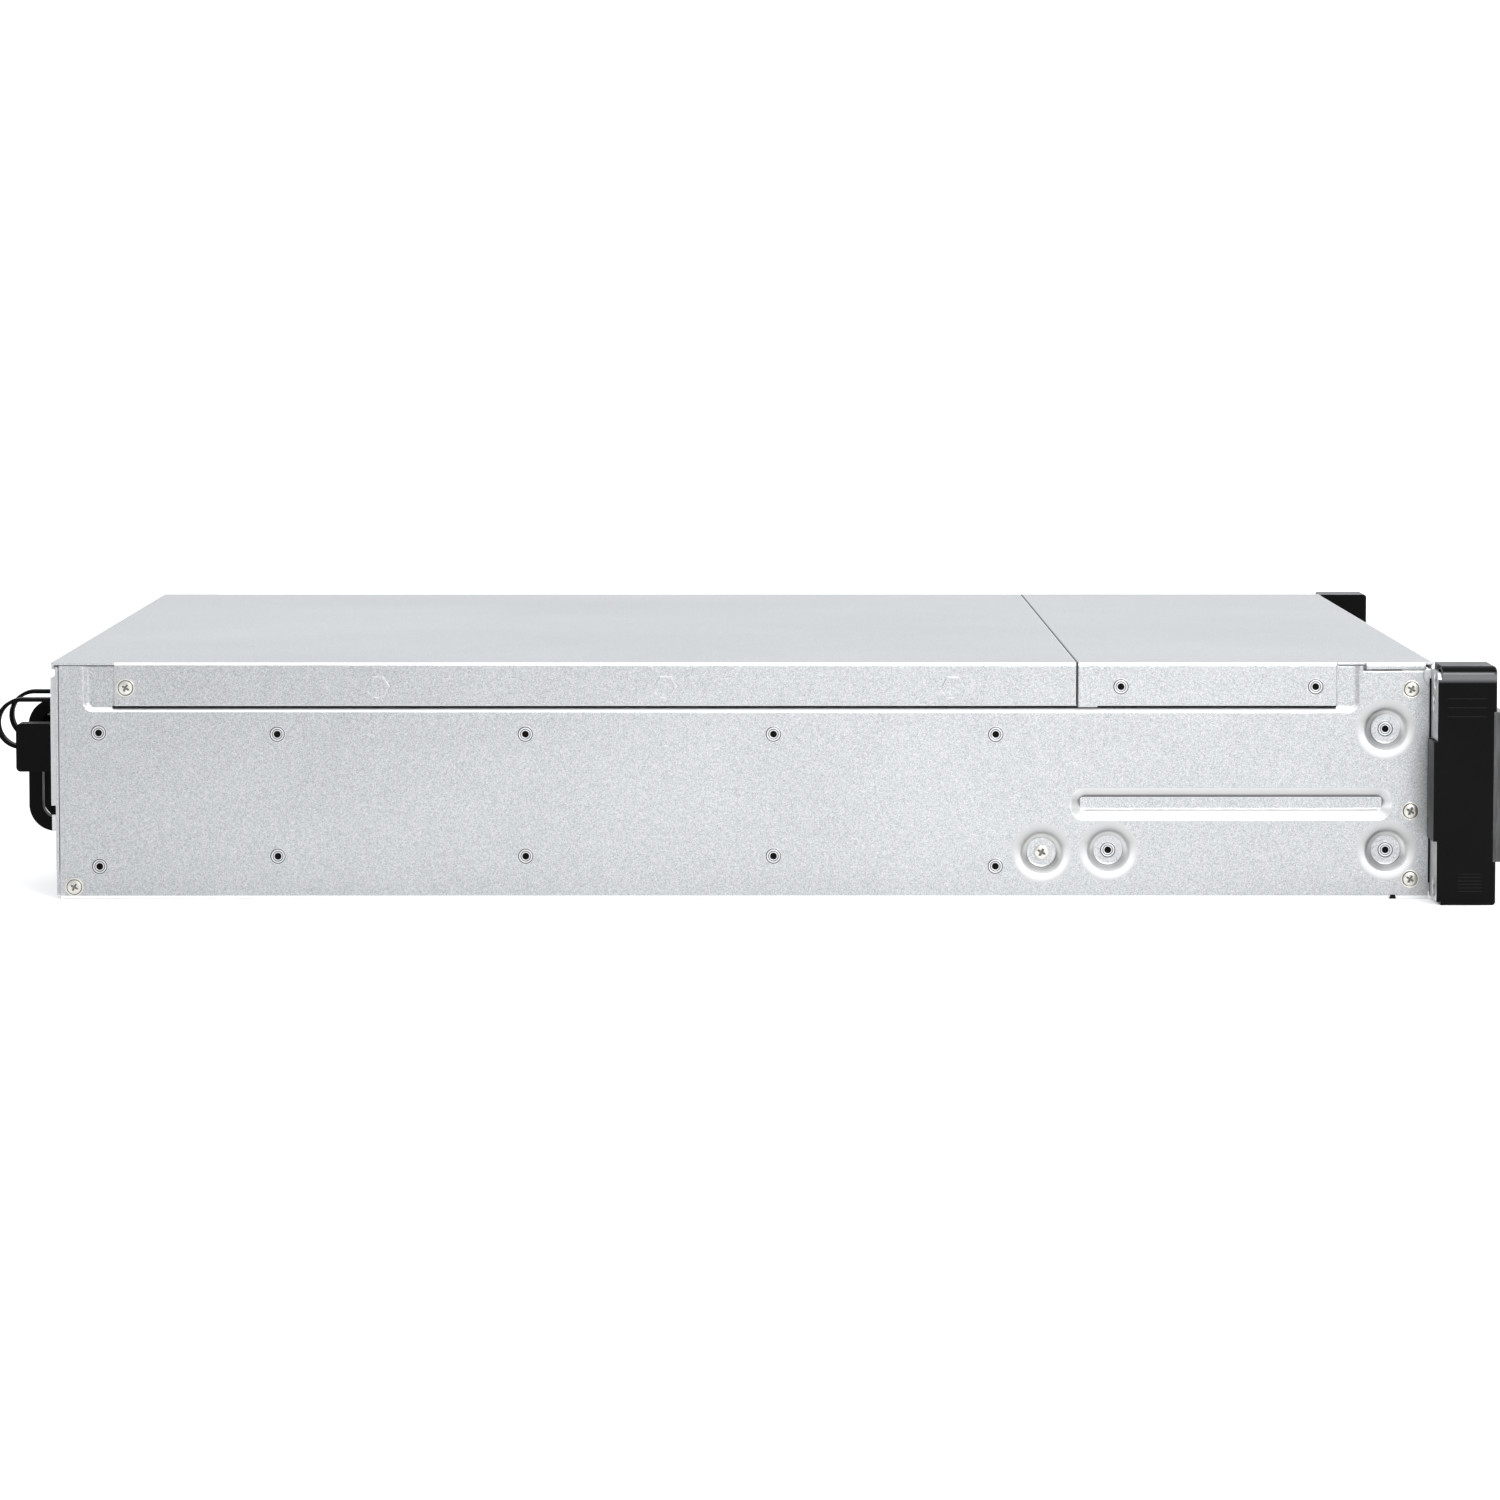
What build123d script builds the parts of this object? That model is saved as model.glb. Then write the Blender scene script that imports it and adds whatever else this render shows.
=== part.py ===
from build123d import *
import os
from math import cos, radians, tan

# A rack-mount network storage chassis, two rack units high, with twelve 3.5-inch drive trays.
# X runs across the rack, Y to the rear and Z up. The origin is the centre of the underside.
# Every size is in millimetres.

# Drives, trays and bays
COLUMNS = 4
ROWS = 3
DRIVE_WIDTH = 101.6
DRIVE_HEIGHT = 26.1
DRIVE_LENGTH = 147.0
DRIVE_PLAY = 0.25          # between a drive and each rail of its tray
ROW_PLAY = 1.4             # free height in a bay above a drive
RAIL = 1.9
RAIL_PLAY = 0.35           # between a rail and the cage wall
CAGE_SHEET = 0.8
CONNECTOR_ROOM = 2.7       # behind a seated drive
LEDGE = 3.0
BEZEL_DEPTH = 20.5
BEZEL_WALL = 1.8
BEZEL_PLAY = 0.3           # round each bezel, half of the gap between two

# Folded and pressed sheet
SHEET = 1.2
COVER_SHEET = 1.0
BEND = 1.6                 # outer radius of a fold
SEAT = 0.3                 # clearance of pieces that only rest on each other
STACK_PLAY = 0.1           # between the drive cage and the cover
PRESS_DEPTH = 3.1
DIMPLE_RADIUS = 8.0
DIMPLE_SLOPE = 41.0
BEAD_LENGTH = 118.9
BEAD_HEIGHT = 11.5
BEAD_CORNER = 4.5
BEAD_SLOPE = 49.0
BEAD_RISE = 35.4
BEAD_SETBACK = 13.7        # from the front edge

# Chassis
CHASSIS_LENGTH = 507.5
FLANGE_DROP = 16.1         # height of the covers' side flanges
RECESS_MARGIN = 2.3
RECESS_PLAY = 0.2
RECESS_REAR = 9.0
RECESS_FRONT = 25.8
RECESS_CORNER = 4.0
RECESS_SLOPE = 55.0
FRONT_SHOULDER = 1.8       # step down of the side panel ahead of the recess
CORNER_RELIEF = 2.0        # cut at the top front corner of the side panel
CORNER_RELIEF_HEIGHT = 3.2
CORNER_SLANT_HEIGHT = 6.0
FOLD_RELIEF = 2.0          # width of the notch in the lower fold
FOLD_RELIEF_SETBACK = 13.0
REAR_FLANGE_START = 20.6
FRONT_FLANGE_START = 34.3
COVER_SPLIT = 130.9        # joint of the two covers, from the front edge
COVER_OVERHANG = 1.2
COVER_JOINT = 0.4
COVER_LIP = 2.6
TOP_FLANGE = 8.0
FLANGE_TAB = 7.5
PIN_SETBACK = 45.6          # behind the split between the covers
PIN_PITCH = 106.45
PIN_COUNT = 3
PIN_HEAD = 8.0             # across the corners
PIN_RADIUS = 2.0
PIN_DROP = 9.0             # below the cover's top
COVER_SCREW_SETBACK = 24.7

# Side hardware
RAIL_NUT_FIRST = 80.75
RAIL_NUT_PITCH = 91.9
RAIL_NUT_COUNT = 3
RAIL_NUT_LOW = 16.0
RAIL_NUT_HIGH = 61.4
NUT_RADIUS = 2.7
NUT_BORE = 1.25
NUT_LENGTH = 2.0
HEAD_PLAY = 0.05
SCREW_HEAD = 2.6
SCREW_HEAD_HEIGHT = 0.5
EAR_SCREW_SETBACK = 6.6
EAR_SCREW_HEIGHTS = (7.4, 32.7, 78.0)
CORNER_SCREW_SETBACK = 5.1
CORNER_SCREW_HEIGHT = 4.5

# Rack ears
EAR_REACH = 21.8           # beyond the side panel
EAR_SHEET = 1.5
EAR_GAP = 0.7
EAR_DEPTH = 22.5           # front of the moulding, ahead of the front edge
EAR_FLANGE = 10.0
EAR_TAB_LOW = 23.5
EAR_TAB_HIGH = 60.1
RACK_HOLE_OFFSET = 13.05   # beyond the side panel
RACK_HOLE_PITCH = 76.2
RACK_SLOT_LENGTH = 10.3
RACK_SLOT_WIDTH = 6.8
FIXING_HOLE_RADIUS = 3.2
FIXING_HOLE_RISE = 73.4
FIXING_HOLE_INSET = 8.5
MOULDING_WALL = 2.0
MOULDING_ROUND = 3.5
MOULDING_EDGE = 1.5
MOULDING_LIP = 0.5
TRIM_LOW = 16.0
TRIM_HIGH = 71.2
TRIM_SEAT = 1.2
TRIM_THICKNESS = 4.4
TRIM_CROWN = 1.4
BUTTON_RADIUS = 4.6
BUTTON_PLAY = 0.1
BUTTON_TRAVEL = 1.0
BUTTON_RISE = 59.0
LAMP_WIDTH = 2.4
LAMP_LOW = 27.0
LAMP_HIGH = 43.0

# Fans
FAN_SIZE = 80.0
FAN_DEPTH = 25.0
FAN_COUNT = 3
FAN_PITCH = 140.0
FAN_BORE = 38.2
FAN_TIP_GAP = 0.8
FAN_HUB = 18.0
FAN_BLADES = 7
BLADE_SPREAD = 15.0        # round the hub
BLADE_DEPTH = 16.0         # along the axis
BLADE_CAMBER = 1.8
BLADE = 1.4
FAN_SHAFT = 1.5
SHAFT_PLAY = 0.05
FAN_WALL_SHEET = 1.0
CABLE_ROOM = 14.6          # between the backplane and the fan wall

# Boards
BOARD = 1.6
BOARD_STANDOFF = 6.0
BOARD_LEFT = -118.0
BOARD_RIGHT = 212.0
BOARD_REAR = 8.0
BOARD_FRONT_GAP = 15.0
STANDOFF_RADIUS = 3.0
CPU_SOCKET = 50.0
CPU_SOCKET_HEIGHT = 4.0
SINK_OFFSET = -20.0        # from the board's middle
SINK_WIDTH = 84.0
SINK_BASE = 5.0
SINK_FIN = 1.2
SINK_FIN_HEIGHT = 33.0
SINK_FINS = 15
MEMORY_COUNT = 4
MEMORY_OFFSET = 55.0       # from the board's middle
MEMORY_PITCH = 11.0
MEMORY_LENGTH = 133.0
MEMORY_HEIGHT = 28.0
MEMORY_SHEET = 1.3
MEMORY_SOCKET_WIDTH = 6.0
MEMORY_SOCKET_LENGTH = 140.0
MEMORY_SOCKET_HEIGHT = 6.0

# Rear panel and sockets
PANEL_SEAT = 0.3
VENT_WIDTH = 3.6
VENT_PITCH = 8.0
VENT_COUNT = 27
VENT_LOW = 33.0
VENT_HIGH = 80.0
VENT_CENTRE = 18.0
SOCKET_PLAY = 0.3
SOCKET_WALL = 1.4
JACK_WIDTH = 11.8
JACK_HEIGHT = 8.4
JACK_DEPTH = 13.0
JACK_PITCH = 16.0
JACK_COUNT = 4
JACK_LEFT = -100.0
PORTS_GAP = 8.0
PORTS_WIDTH = 14.5
PORTS_HEIGHT = 15.6
PORT_SHELL = 0.8
PORT_TONGUE = 1.8
PORT_TONGUE_INSET = 1.2
EXPANSION_GAP = 9.5
EXPANSION_WIDTH = 28.0
EXPANSION_HEIGHT = 12.0
SLOT_COVER_X = 172.0
SLOT_COVER_WIDTH = 18.4
SLOT_COVER_HEIGHT = 76.0

# Power supplies
PSU_COUNT = 2
PSU_WIDTH = 40.0
PSU_HEIGHT = 73.5
PSU_LENGTH = 185.0
PSU_RISE = 1.25            # of their centre above the chassis's mid-height
PSU_PLAY = 0.3
PSU_CAGE_SHEET = 1.0
PSU_CAGE_GAP = 0.5
PSU_BROW = 2.1             # thickness of the raised upper part of the rear face
PSU_BROW_DROP = 47.5
GRILLE_COUNT = 5
GRILLE_PITCH = 4.0
GRILLE_SLOT = 2.2
GRILLE_DEPTH = 4.0
GRILLE_LEFT = 6.0
GRILLE_RIGHT = 12.0
HANDLE_GAP = 0.7
HANDLE_BAR = 5.0
HANDLE_WIDTH = 7.0
HANDLE_REACH = 14.0
HANDLE_LOW = 22.0
HANDLE_HIGH = 72.0
HANDLE_BEND = 10.0
INLET_GAP = 0.8
INLET_WIDTH = 19.0
INLET_HEIGHT = 27.0
INLET_DEPTH = 18.0
INLET_RISE = 56.0
INLET_WALL = 1.5
INLET_PIN = 2.0
CLAMP_INSET = 0.5
CLAMP_WIDTH = 10.0
CLAMP_DEPTH = 13.0
CLAMP_HEIGHT = 17.9
CLAMP_EYE = 3.2
CLAMP_EYE_RISE = 5.9
CLAMP_ROUND = 1.7
STRAP = 1.4
STRAP_WIDTH = 6.0
STRAP_RADIUS = 8.8
LATCH_SHEET = 1.0
LATCH_HEIGHT = 6.0
LATCH_RISE = 28.0
LATCH_ARM = 42.0
LATCH_REACH = 1.9
LATCH_SWING = 2.2
LATCH_PIN = 1.0

# Trays' levers
LEVER_LENGTH = 84.0
LEVER_HEIGHT = 11.2
LEVER_SHEET = 2.2
LEVER_RIB = 4.6
LEVER_BOSS = 3.4
LEVER_AXIS_DEPTH = 4.6
LEVER_PIN = 1.5
LEVER_PLAY = 0.3
POCKET_DEPTH = 9.0
POCKET_RISE = 2.6
POCKET_WALL = 1.6
LOUVRE = 1.9
LOUVRE_PITCH = 3.3
LOUVRE_COUNT = 3

# Sizes that follow
BAY_WIDTH = DRIVE_WIDTH + 2 * (DRIVE_PLAY + RAIL + RAIL_PLAY)
ROW_CLEAR = DRIVE_HEIGHT + ROW_PLAY
COLUMN_PITCH = BAY_WIDTH + CAGE_SHEET
ROW_PITCH = ROW_CLEAR + CAGE_SHEET
CAGE_HALF = (COLUMNS * COLUMN_PITCH + CAGE_SHEET) / 2
CAGE_HEIGHT = ROWS * ROW_PITCH + CAGE_SHEET
CAGE_LENGTH = SEAT + DRIVE_LENGTH + CONNECTOR_ROOM
INNER_X = CAGE_HALF + PRESS_DEPTH
HALF_WIDTH = INNER_X + SHEET
COVER_UNDERSIDE = SHEET + CAGE_HEIGHT + STACK_PLAY
CHASSIS_HEIGHT = COVER_UNDERSIDE + COVER_SHEET
WALL_TOP = COVER_UNDERSIDE - SEAT
RECESS_DEPTH = COVER_SHEET + RECESS_PLAY
RECESS_LOW = CHASSIS_HEIGHT - FLANGE_DROP - RECESS_MARGIN
RECESS_X = HALF_WIDTH - RECESS_DEPTH
REAR_Y = CHASSIS_LENGTH / 2
FRONT_Y = -CHASSIS_LENGTH / 2
SPLIT_Y = FRONT_Y + COVER_SPLIT
BEZEL_FRONT_Y = FRONT_Y + SEAT
BEZEL_REAR_Y = BEZEL_FRONT_Y + BEZEL_DEPTH
CAGE_FRONT_Y = BEZEL_REAR_Y + SEAT
CAGE_REAR_Y = CAGE_FRONT_Y + CAGE_LENGTH
BACKPLANE_Y = CAGE_REAR_Y + SEAT
FAN_WALL_Y = BACKPLANE_Y + BOARD + CABLE_ROOM
FAN_Y = FAN_WALL_Y + FAN_WALL_SHEET
FAN_Z = SHEET + FAN_WALL_SHEET + SEAT + FAN_SIZE / 2
BOARD_FRONT_Y = FAN_Y + FAN_DEPTH + BOARD_FRONT_GAP
BOARD_REAR_Y = REAR_Y - BOARD_REAR
BOARD_Z = SHEET + BOARD_STANDOFF
BOARD_TOP = BOARD_Z + BOARD
EAR_HALF = HALF_WIDTH + EAR_REACH
RACK_HOLE_X = HALF_WIDTH + RACK_HOLE_OFFSET
EAR_REAR_Y = FRONT_Y - EAR_GAP
EAR_FACE_Y = EAR_REAR_Y - EAR_SHEET
EAR_FRONT_Y = FRONT_Y - EAR_DEPTH
PANEL_Y = REAR_Y + PANEL_SEAT
PANEL_FACE_Y = PANEL_Y + SHEET
COVER_REAR_Y = PANEL_FACE_Y + SEAT + COVER_SHEET
PSU_FACE_Y = PANEL_FACE_Y
PSU_BROW_Y = PSU_FACE_Y + PSU_BROW
PSU_LOW = CHASSIS_HEIGHT / 2 + PSU_RISE - PSU_HEIGHT / 2
PSU_HIGH = PSU_LOW + PSU_HEIGHT
PSU_PITCH = PSU_WIDTH + 2 * PSU_PLAY + PSU_CAGE_SHEET
PSU_CAGE_LEFT = -RECESS_X + SHEET + PSU_CAGE_GAP
PSU_LEFT = PSU_CAGE_LEFT + PSU_CAGE_SHEET + PSU_PLAY
PSU_CAGE_RIGHT = PSU_CAGE_LEFT + PSU_COUNT * PSU_PITCH + PSU_CAGE_SHEET
PSU_CAGE_FRONT_Y = PSU_FACE_Y - PSU_LENGTH - SEAT
BUTTON_X = -(EAR_HALF + CAGE_HALF) / 2
COLUMN_XS = [(column - (COLUMNS - 1) / 2) * COLUMN_PITCH for column in range(COLUMNS)]
ROW_FLOORS = [SHEET + CAGE_SHEET + row * ROW_PITCH for row in range(ROWS)]
FAN_XS = [(index - (FAN_COUNT - 1) / 2) * FAN_PITCH for index in range(FAN_COUNT)]
PIN_YS = [SPLIT_Y + PIN_SETBACK + index * PIN_PITCH for index in reversed(range(PIN_COUNT))]
PIN_Z = CHASSIS_HEIGHT - PIN_DROP
RAIL_NUT_POINTS = [
    (REAR_Y - RAIL_NUT_FIRST - index * RAIL_NUT_PITCH, height)
    for index in range(RAIL_NUT_COUNT)
    for height in (RAIL_NUT_LOW, RAIL_NUT_HIGH)
]
# Dimples of the side panel, as distance from its front edge and height
DIMPLES = ((143.4, 17.2), (118.7, 18.0), (16.0, 63.1), (15.6, 18.0))
LEVER_AXIS_X = -LEVER_LENGTH / 2
LEVER_AXIS_Y = BEZEL_FRONT_Y + LEVER_AXIS_DEPTH

SIDE = Plane(origin=(-HALF_WIDTH, 0, 0), x_dir=(0, 1, 0), z_dir=(1, 0, 0))


def block(x0, x1, y0, y1, z0, z1):
    """Box between two opposite corners."""
    return Pos((x0 + x1) / 2, (y0 + y1) / 2, (z0 + z1) / 2) * Box(x1 - x0, y1 - y0, z1 - z0)


def cylinder_x(x0, x1, y, z, radius):
    return Pos((x0 + x1) / 2, y, z) * Rot(0, 90, 0) * Cylinder(radius, x1 - x0)


def hexagon_x(x0, x1, y, z, radius):
    return Pos(x0, y, z) * Rot(0, 90, 0) * extrude(RegularPolygon(radius, 6), x1 - x0)


def prism_z(x, y, z0, z1, radius, sides):
    return Pos(x, y, z0) * extrude(RegularPolygon(radius, sides), z1 - z0)


def cylinder_y(x, y0, y1, z, radius):
    return Pos(x, (y0 + y1) / 2, z) * Rot(90, 0, 0) * Cylinder(radius, y1 - y0)


def cylinder_z(x, y, z0, z1, radius):
    return Pos(x, y, (z0 + z1) / 2) * Cylinder(radius, z1 - z0)


def folded(points, sheet, bend, side):
    """Section of a folded sheet along a path of its outer face."""
    path = FilletPolyline(*points, radius=bend)
    return make_face(offset(path, amount=sheet, side=side, closed=True))


def both_sides(part):
    """The part of the left side together with its mirror image."""
    return part + mirror(part, about=Plane.YZ)


def group(solids):
    return Compound(children=[solid for item in solids for solid in item.solids()])


def save(part, name):
    export_step(part, "parts/" + name + ".step")


def pressed_in(panel, outline, depth, slope):
    """Press the left panel inwards over an outline, its walls sloped and as thick as the sheet."""
    growth = SHEET * (1 / cos(radians(slope)) - tan(radians(slope)))
    swelling = extrude(SIDE.offset(SHEET) * offset(outline, growth), depth, taper=slope)
    return panel + swelling - extrude(SIDE * outline, depth, taper=slope)


def cover_slot(y):
    """Open-topped slot in which a pin of the rear cover drops into the side panel."""
    half = PIN_RADIUS + SEAT
    reach = HALF_WIDTH - INNER_X + TOP_FLANGE + RECESS_DEPTH
    return block(-HALF_WIDTH, -HALF_WIDTH + reach, y - half, y + half, PIN_Z - half, CHASSIS_HEIGHT)


def corner_relief(top):
    """Cut that clears the ear's fold at the top front corner of the side panel."""
    rear = FRONT_Y + CORNER_RELIEF
    low = top - CORNER_RELIEF_HEIGHT
    slant_low = top - CORNER_SLANT_HEIGHT
    return make_face(Polyline((FRONT_Y, top), (rear, top), (rear, low), (FRONT_Y, slant_low), close=True))


def make_chassis_base():
    """Floor and side panels with their pressed-in rail nuts, from the left half."""
    path = [(0, 0), (-HALF_WIDTH, 0), (-HALF_WIDTH, CHASSIS_HEIGHT)]
    panel = extrude(Plane.XZ * folded(path, SHEET, BEND, Side.RIGHT), CHASSIS_LENGTH / 2, both=True)
    recess_rear = REAR_Y - RECESS_REAR
    recess_front = FRONT_Y + RECESS_FRONT
    recess_top = 2 * CHASSIS_HEIGHT - RECESS_LOW
    outline = Pos((recess_rear + recess_front) / 2, CHASSIS_HEIGHT) * RectangleRounded(
        recess_rear - recess_front, recess_top - RECESS_LOW, RECESS_CORNER
    )
    panel = pressed_in(panel, outline, RECESS_DEPTH, RECESS_SLOPE)
    bead_y = FRONT_Y + BEAD_SETBACK + BEAD_LENGTH / 2
    bead = Pos(bead_y, BEAD_RISE) * RectangleRounded(BEAD_LENGTH, BEAD_HEIGHT, BEAD_CORNER)
    panel = pressed_in(panel, bead, PRESS_DEPTH, BEAD_SLOPE)
    for setback, height in DIMPLES:
        dimple = Pos(FRONT_Y + setback, height) * Circle(DIMPLE_RADIUS)
        panel = pressed_in(panel, dimple, PRESS_DEPTH, DIMPLE_SLOPE)
    panel -= block(-HALF_WIDTH, 0, FRONT_Y, REAR_Y, WALL_TOP, 2 * CHASSIS_HEIGHT)
    shoulder = WALL_TOP - FRONT_SHOULDER
    panel -= block(-HALF_WIDTH, 0, FRONT_Y, recess_front - RECESS_DEPTH, shoulder, CHASSIS_HEIGHT)
    flange_rear = recess_rear - 2 * RECESS_CORNER
    flange_front = CAGE_REAR_Y + 2 * RECESS_CORNER
    panel += block(
        -RECESS_X, -RECESS_X + TOP_FLANGE, flange_front, flange_rear, WALL_TOP - SHEET, WALL_TOP
    )
    for y in PIN_YS + [REAR_Y - COVER_SCREW_SETBACK]:
        panel -= cover_slot(y)
    panel -= extrude(SIDE * corner_relief(shoulder), SHEET)
    relief_y = FRONT_Y + FOLD_RELIEF_SETBACK
    panel -= block(
        -HALF_WIDTH, -HALF_WIDTH + BEND, relief_y - FOLD_RELIEF / 2, relief_y + FOLD_RELIEF / 2, 0, BEND
    )
    nut_tip = -HALF_WIDTH + NUT_LENGTH
    for y, height in RAIL_NUT_POINTS:
        panel += hexagon_x(-INNER_X, nut_tip, y, height, NUT_RADIUS)
        panel -= cylinder_x(-HALF_WIDTH, nut_tip, y, height, NUT_BORE)
    return both_sides(panel)


def cover_section(drop):
    """Inverted channel of a top cover with side flanges of the given height."""
    low = CHASSIS_HEIGHT - drop
    points = [(-HALF_WIDTH, low), (-HALF_WIDTH, CHASSIS_HEIGHT)]
    points += [(HALF_WIDTH, CHASSIS_HEIGHT), (HALF_WIDTH, low)]
    return Plane.XZ * folded(points, COVER_SHEET, COVER_SHEET + SEAT, Side.RIGHT)


def channel_between(section, y0, y1):
    return Pos(0, y1, 0) * extrude(section, y1 - y0)


def make_front_cover():
    """Fixed cover over the drive cage, with full flanges at the rear and a short lip ahead."""
    front = FRONT_Y - COVER_OVERHANG
    rear = SPLIT_Y - COVER_JOINT
    cover = channel_between(cover_section(FLANGE_DROP), FRONT_Y + FRONT_FLANGE_START, rear)
    lip_rear = FRONT_Y + RECESS_FRONT - 2 * RECESS_DEPTH
    cover += channel_between(cover_section(COVER_LIP), front + COVER_LIP, lip_rear)
    cover += block(
        -HALF_WIDTH + COVER_SHEET, HALF_WIDTH - COVER_SHEET, front, rear, COVER_UNDERSIDE, CHASSIS_HEIGHT
    )
    cover += block(
        -CAGE_HALF, CAGE_HALF, front, front + COVER_SHEET, CHASSIS_HEIGHT - COVER_LIP, CHASSIS_HEIGHT
    )
    tab_low = CHASSIS_HEIGHT - FLANGE_DROP - COVER_SHEET / 2
    tab = block(
        -HALF_WIDTH, -HALF_WIDTH + COVER_SHEET, rear - FLANGE_TAB, rear,
        tab_low, tab_low + 2 * COVER_SHEET
    )
    return cover + both_sides(tab)


def make_rear_cover():
    """Lift-off cover of the rear half, with a lip down over the rear panel."""
    plate = channel_between(cover_section(FLANGE_DROP), SPLIT_Y, REAR_Y - REAR_FLANGE_START)
    plate += block(
        -HALF_WIDTH, HALF_WIDTH, REAR_Y - REAR_FLANGE_START, COVER_REAR_Y, COVER_UNDERSIDE, CHASSIS_HEIGHT
    )
    lip = block(
        -HALF_WIDTH + COVER_SHEET, HALF_WIDTH - COVER_SHEET, COVER_REAR_Y - COVER_SHEET, COVER_REAR_Y,
        CHASSIS_HEIGHT - COVER_LIP, COVER_UNDERSIDE
    )
    heads = [
        hexagon_x(-HALF_WIDTH, -HALF_WIDTH + COVER_SHEET, y, PIN_Z, PIN_HEAD / 2 + HEAD_PLAY)
        for y in PIN_YS
    ]
    return plate + lip - both_sides(heads[0] + heads[1:])


def make_cover_pins():
    """Hexagon-headed pins and the rear screw's shank, flush in the rear cover's flanges."""
    pieces = []
    tip = -RECESS_X + SHEET + SEAT
    head_inner = -HALF_WIDTH + COVER_SHEET
    for y in PIN_YS:
        head = hexagon_x(-HALF_WIDTH, head_inner, y, PIN_Z, PIN_HEAD / 2)
        pieces.append(head + cylinder_x(head_inner, tip, y, PIN_Z, PIN_RADIUS))
    pieces.append(cylinder_x(head_inner, tip, REAR_Y - COVER_SCREW_SETBACK, PIN_Z, PIN_RADIUS))
    left = group(pieces)
    return group([left, mirror(left, about=Plane.YZ)])


def make_ear_bracket():
    """Left rack ear: a flange inside the side panel and a plate with two slotted tabs."""
    top = WALL_TOP - SHEET
    low = SHEET + BEND
    outer = -EAR_HALF + MOULDING_LIP + SEAT
    flange_x = -INNER_X
    inner = block(
        flange_x, flange_x + EAR_SHEET, EAR_FACE_Y, FRONT_Y + EAR_FLANGE, low, top
    )
    plate = block(outer, flange_x + EAR_SHEET, EAR_FACE_Y, EAR_REAR_Y, SHEET, top)
    plate -= block(
        outer, -HALF_WIDTH - MOULDING_WALL, EAR_FACE_Y, EAR_REAR_Y, EAR_TAB_LOW - SEAT, EAR_TAB_HIGH + SEAT
    )
    corners = plate.edges().filter_by(Axis.Y).group_by(Axis.X)[0]
    plate = fillet(corners.sort_by(Axis.Z)[-1], MOULDING_ROUND)
    plate = chamfer(
        plate.edges().filter_by(Axis.Y).group_by(Axis.X)[0].sort_by(Axis.Z)[0], MOULDING_ROUND
    )
    bracket = plate + inner
    for setback, height in DIMPLES[2:]:
        clear = DIMPLE_RADIUS + SHEET
        bracket -= block(
            flange_x, flange_x + EAR_SHEET, FRONT_Y + setback - clear, FRONT_Y + EAR_FLANGE,
            height - clear, height + clear
        )
    for slot in rack_slots(RACK_SLOT_LENGTH, RACK_SLOT_WIDTH):
        bracket -= slot
    return bracket - cylinder_y(
        -HALF_WIDTH - FIXING_HOLE_INSET, EAR_FACE_Y, EAR_REAR_Y, FIXING_HOLE_RISE, FIXING_HOLE_RADIUS
    )


def rack_slots(length, width):
    """The left ear's two rack slots, cut from the rear of its plate to its front."""
    depth = EAR_REAR_Y - EAR_FRONT_Y
    middle = CHASSIS_HEIGHT / 2
    slots = []
    for height in (middle - RACK_HOLE_PITCH / 2, middle + RACK_HOLE_PITCH / 2):
        outline = Pos(-RACK_HOLE_X, height) * SlotOverall(length, width)
        slots.append(Pos(0, EAR_REAR_Y, 0) * extrude(Plane.XZ * outline, depth))
    return slots


def make_ear_cover(has_button):
    """Plastic moulding over the left rack ear, lipped round the plate, hollow behind its trim."""
    body = block(-EAR_HALF, -CAGE_HALF - SEAT, EAR_FRONT_Y, EAR_FACE_Y, 0, CHASSIS_HEIGHT)
    long_edges = body.edges().filter_by(Axis.Y).group_by(Axis.Z)[-1]
    body = fillet(long_edges.sort_by(Axis.X)[0], MOULDING_ROUND)
    front_edges = body.faces().sort_by(Axis.Y)[0].edges()
    body = fillet(front_edges, MOULDING_EDGE)
    lip = block(
        -EAR_HALF, -EAR_HALF + MOULDING_LIP, EAR_FACE_Y, EAR_REAR_Y, SHEET, WALL_TOP - MOULDING_ROUND
    )
    wrap = block(
        -EAR_HALF, -HALF_WIDTH - MOULDING_WALL - SEAT, EAR_FACE_Y, FRONT_Y + EAR_GAP,
        EAR_TAB_LOW, EAR_TAB_HIGH
    )
    body += lip + wrap
    body -= block(-EAR_HALF, -CAGE_HALF, EAR_FRONT_Y, EAR_FRONT_Y + TRIM_SEAT, TRIM_LOW, TRIM_HIGH)
    body -= block(
        -EAR_HALF + MOULDING_WALL, -CAGE_HALF - SEAT - MOULDING_WALL,
        EAR_FRONT_Y + TRIM_SEAT + MOULDING_WALL, EAR_FACE_Y,
        TRIM_LOW - MOULDING_WALL, TRIM_HIGH + MOULDING_WALL
    )
    for slot in rack_slots(RACK_SLOT_LENGTH + MOULDING_WALL, RACK_SLOT_WIDTH + MOULDING_WALL):
        body -= slot
    if has_button:
        body -= button_bore()
        body -= lamp_window()
    return body


def button_bore():
    radius = BUTTON_RADIUS + BUTTON_PLAY
    return cylinder_y(BUTTON_X, EAR_FRONT_Y - EAR_DEPTH, EAR_FACE_Y, BUTTON_RISE, radius)


def lamp_window():
    half = LAMP_WIDTH / 2
    return block(BUTTON_X - half, BUTTON_X + half, EAR_FRONT_Y - EAR_DEPTH, EAR_FACE_Y, LAMP_LOW, LAMP_HIGH)


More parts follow.
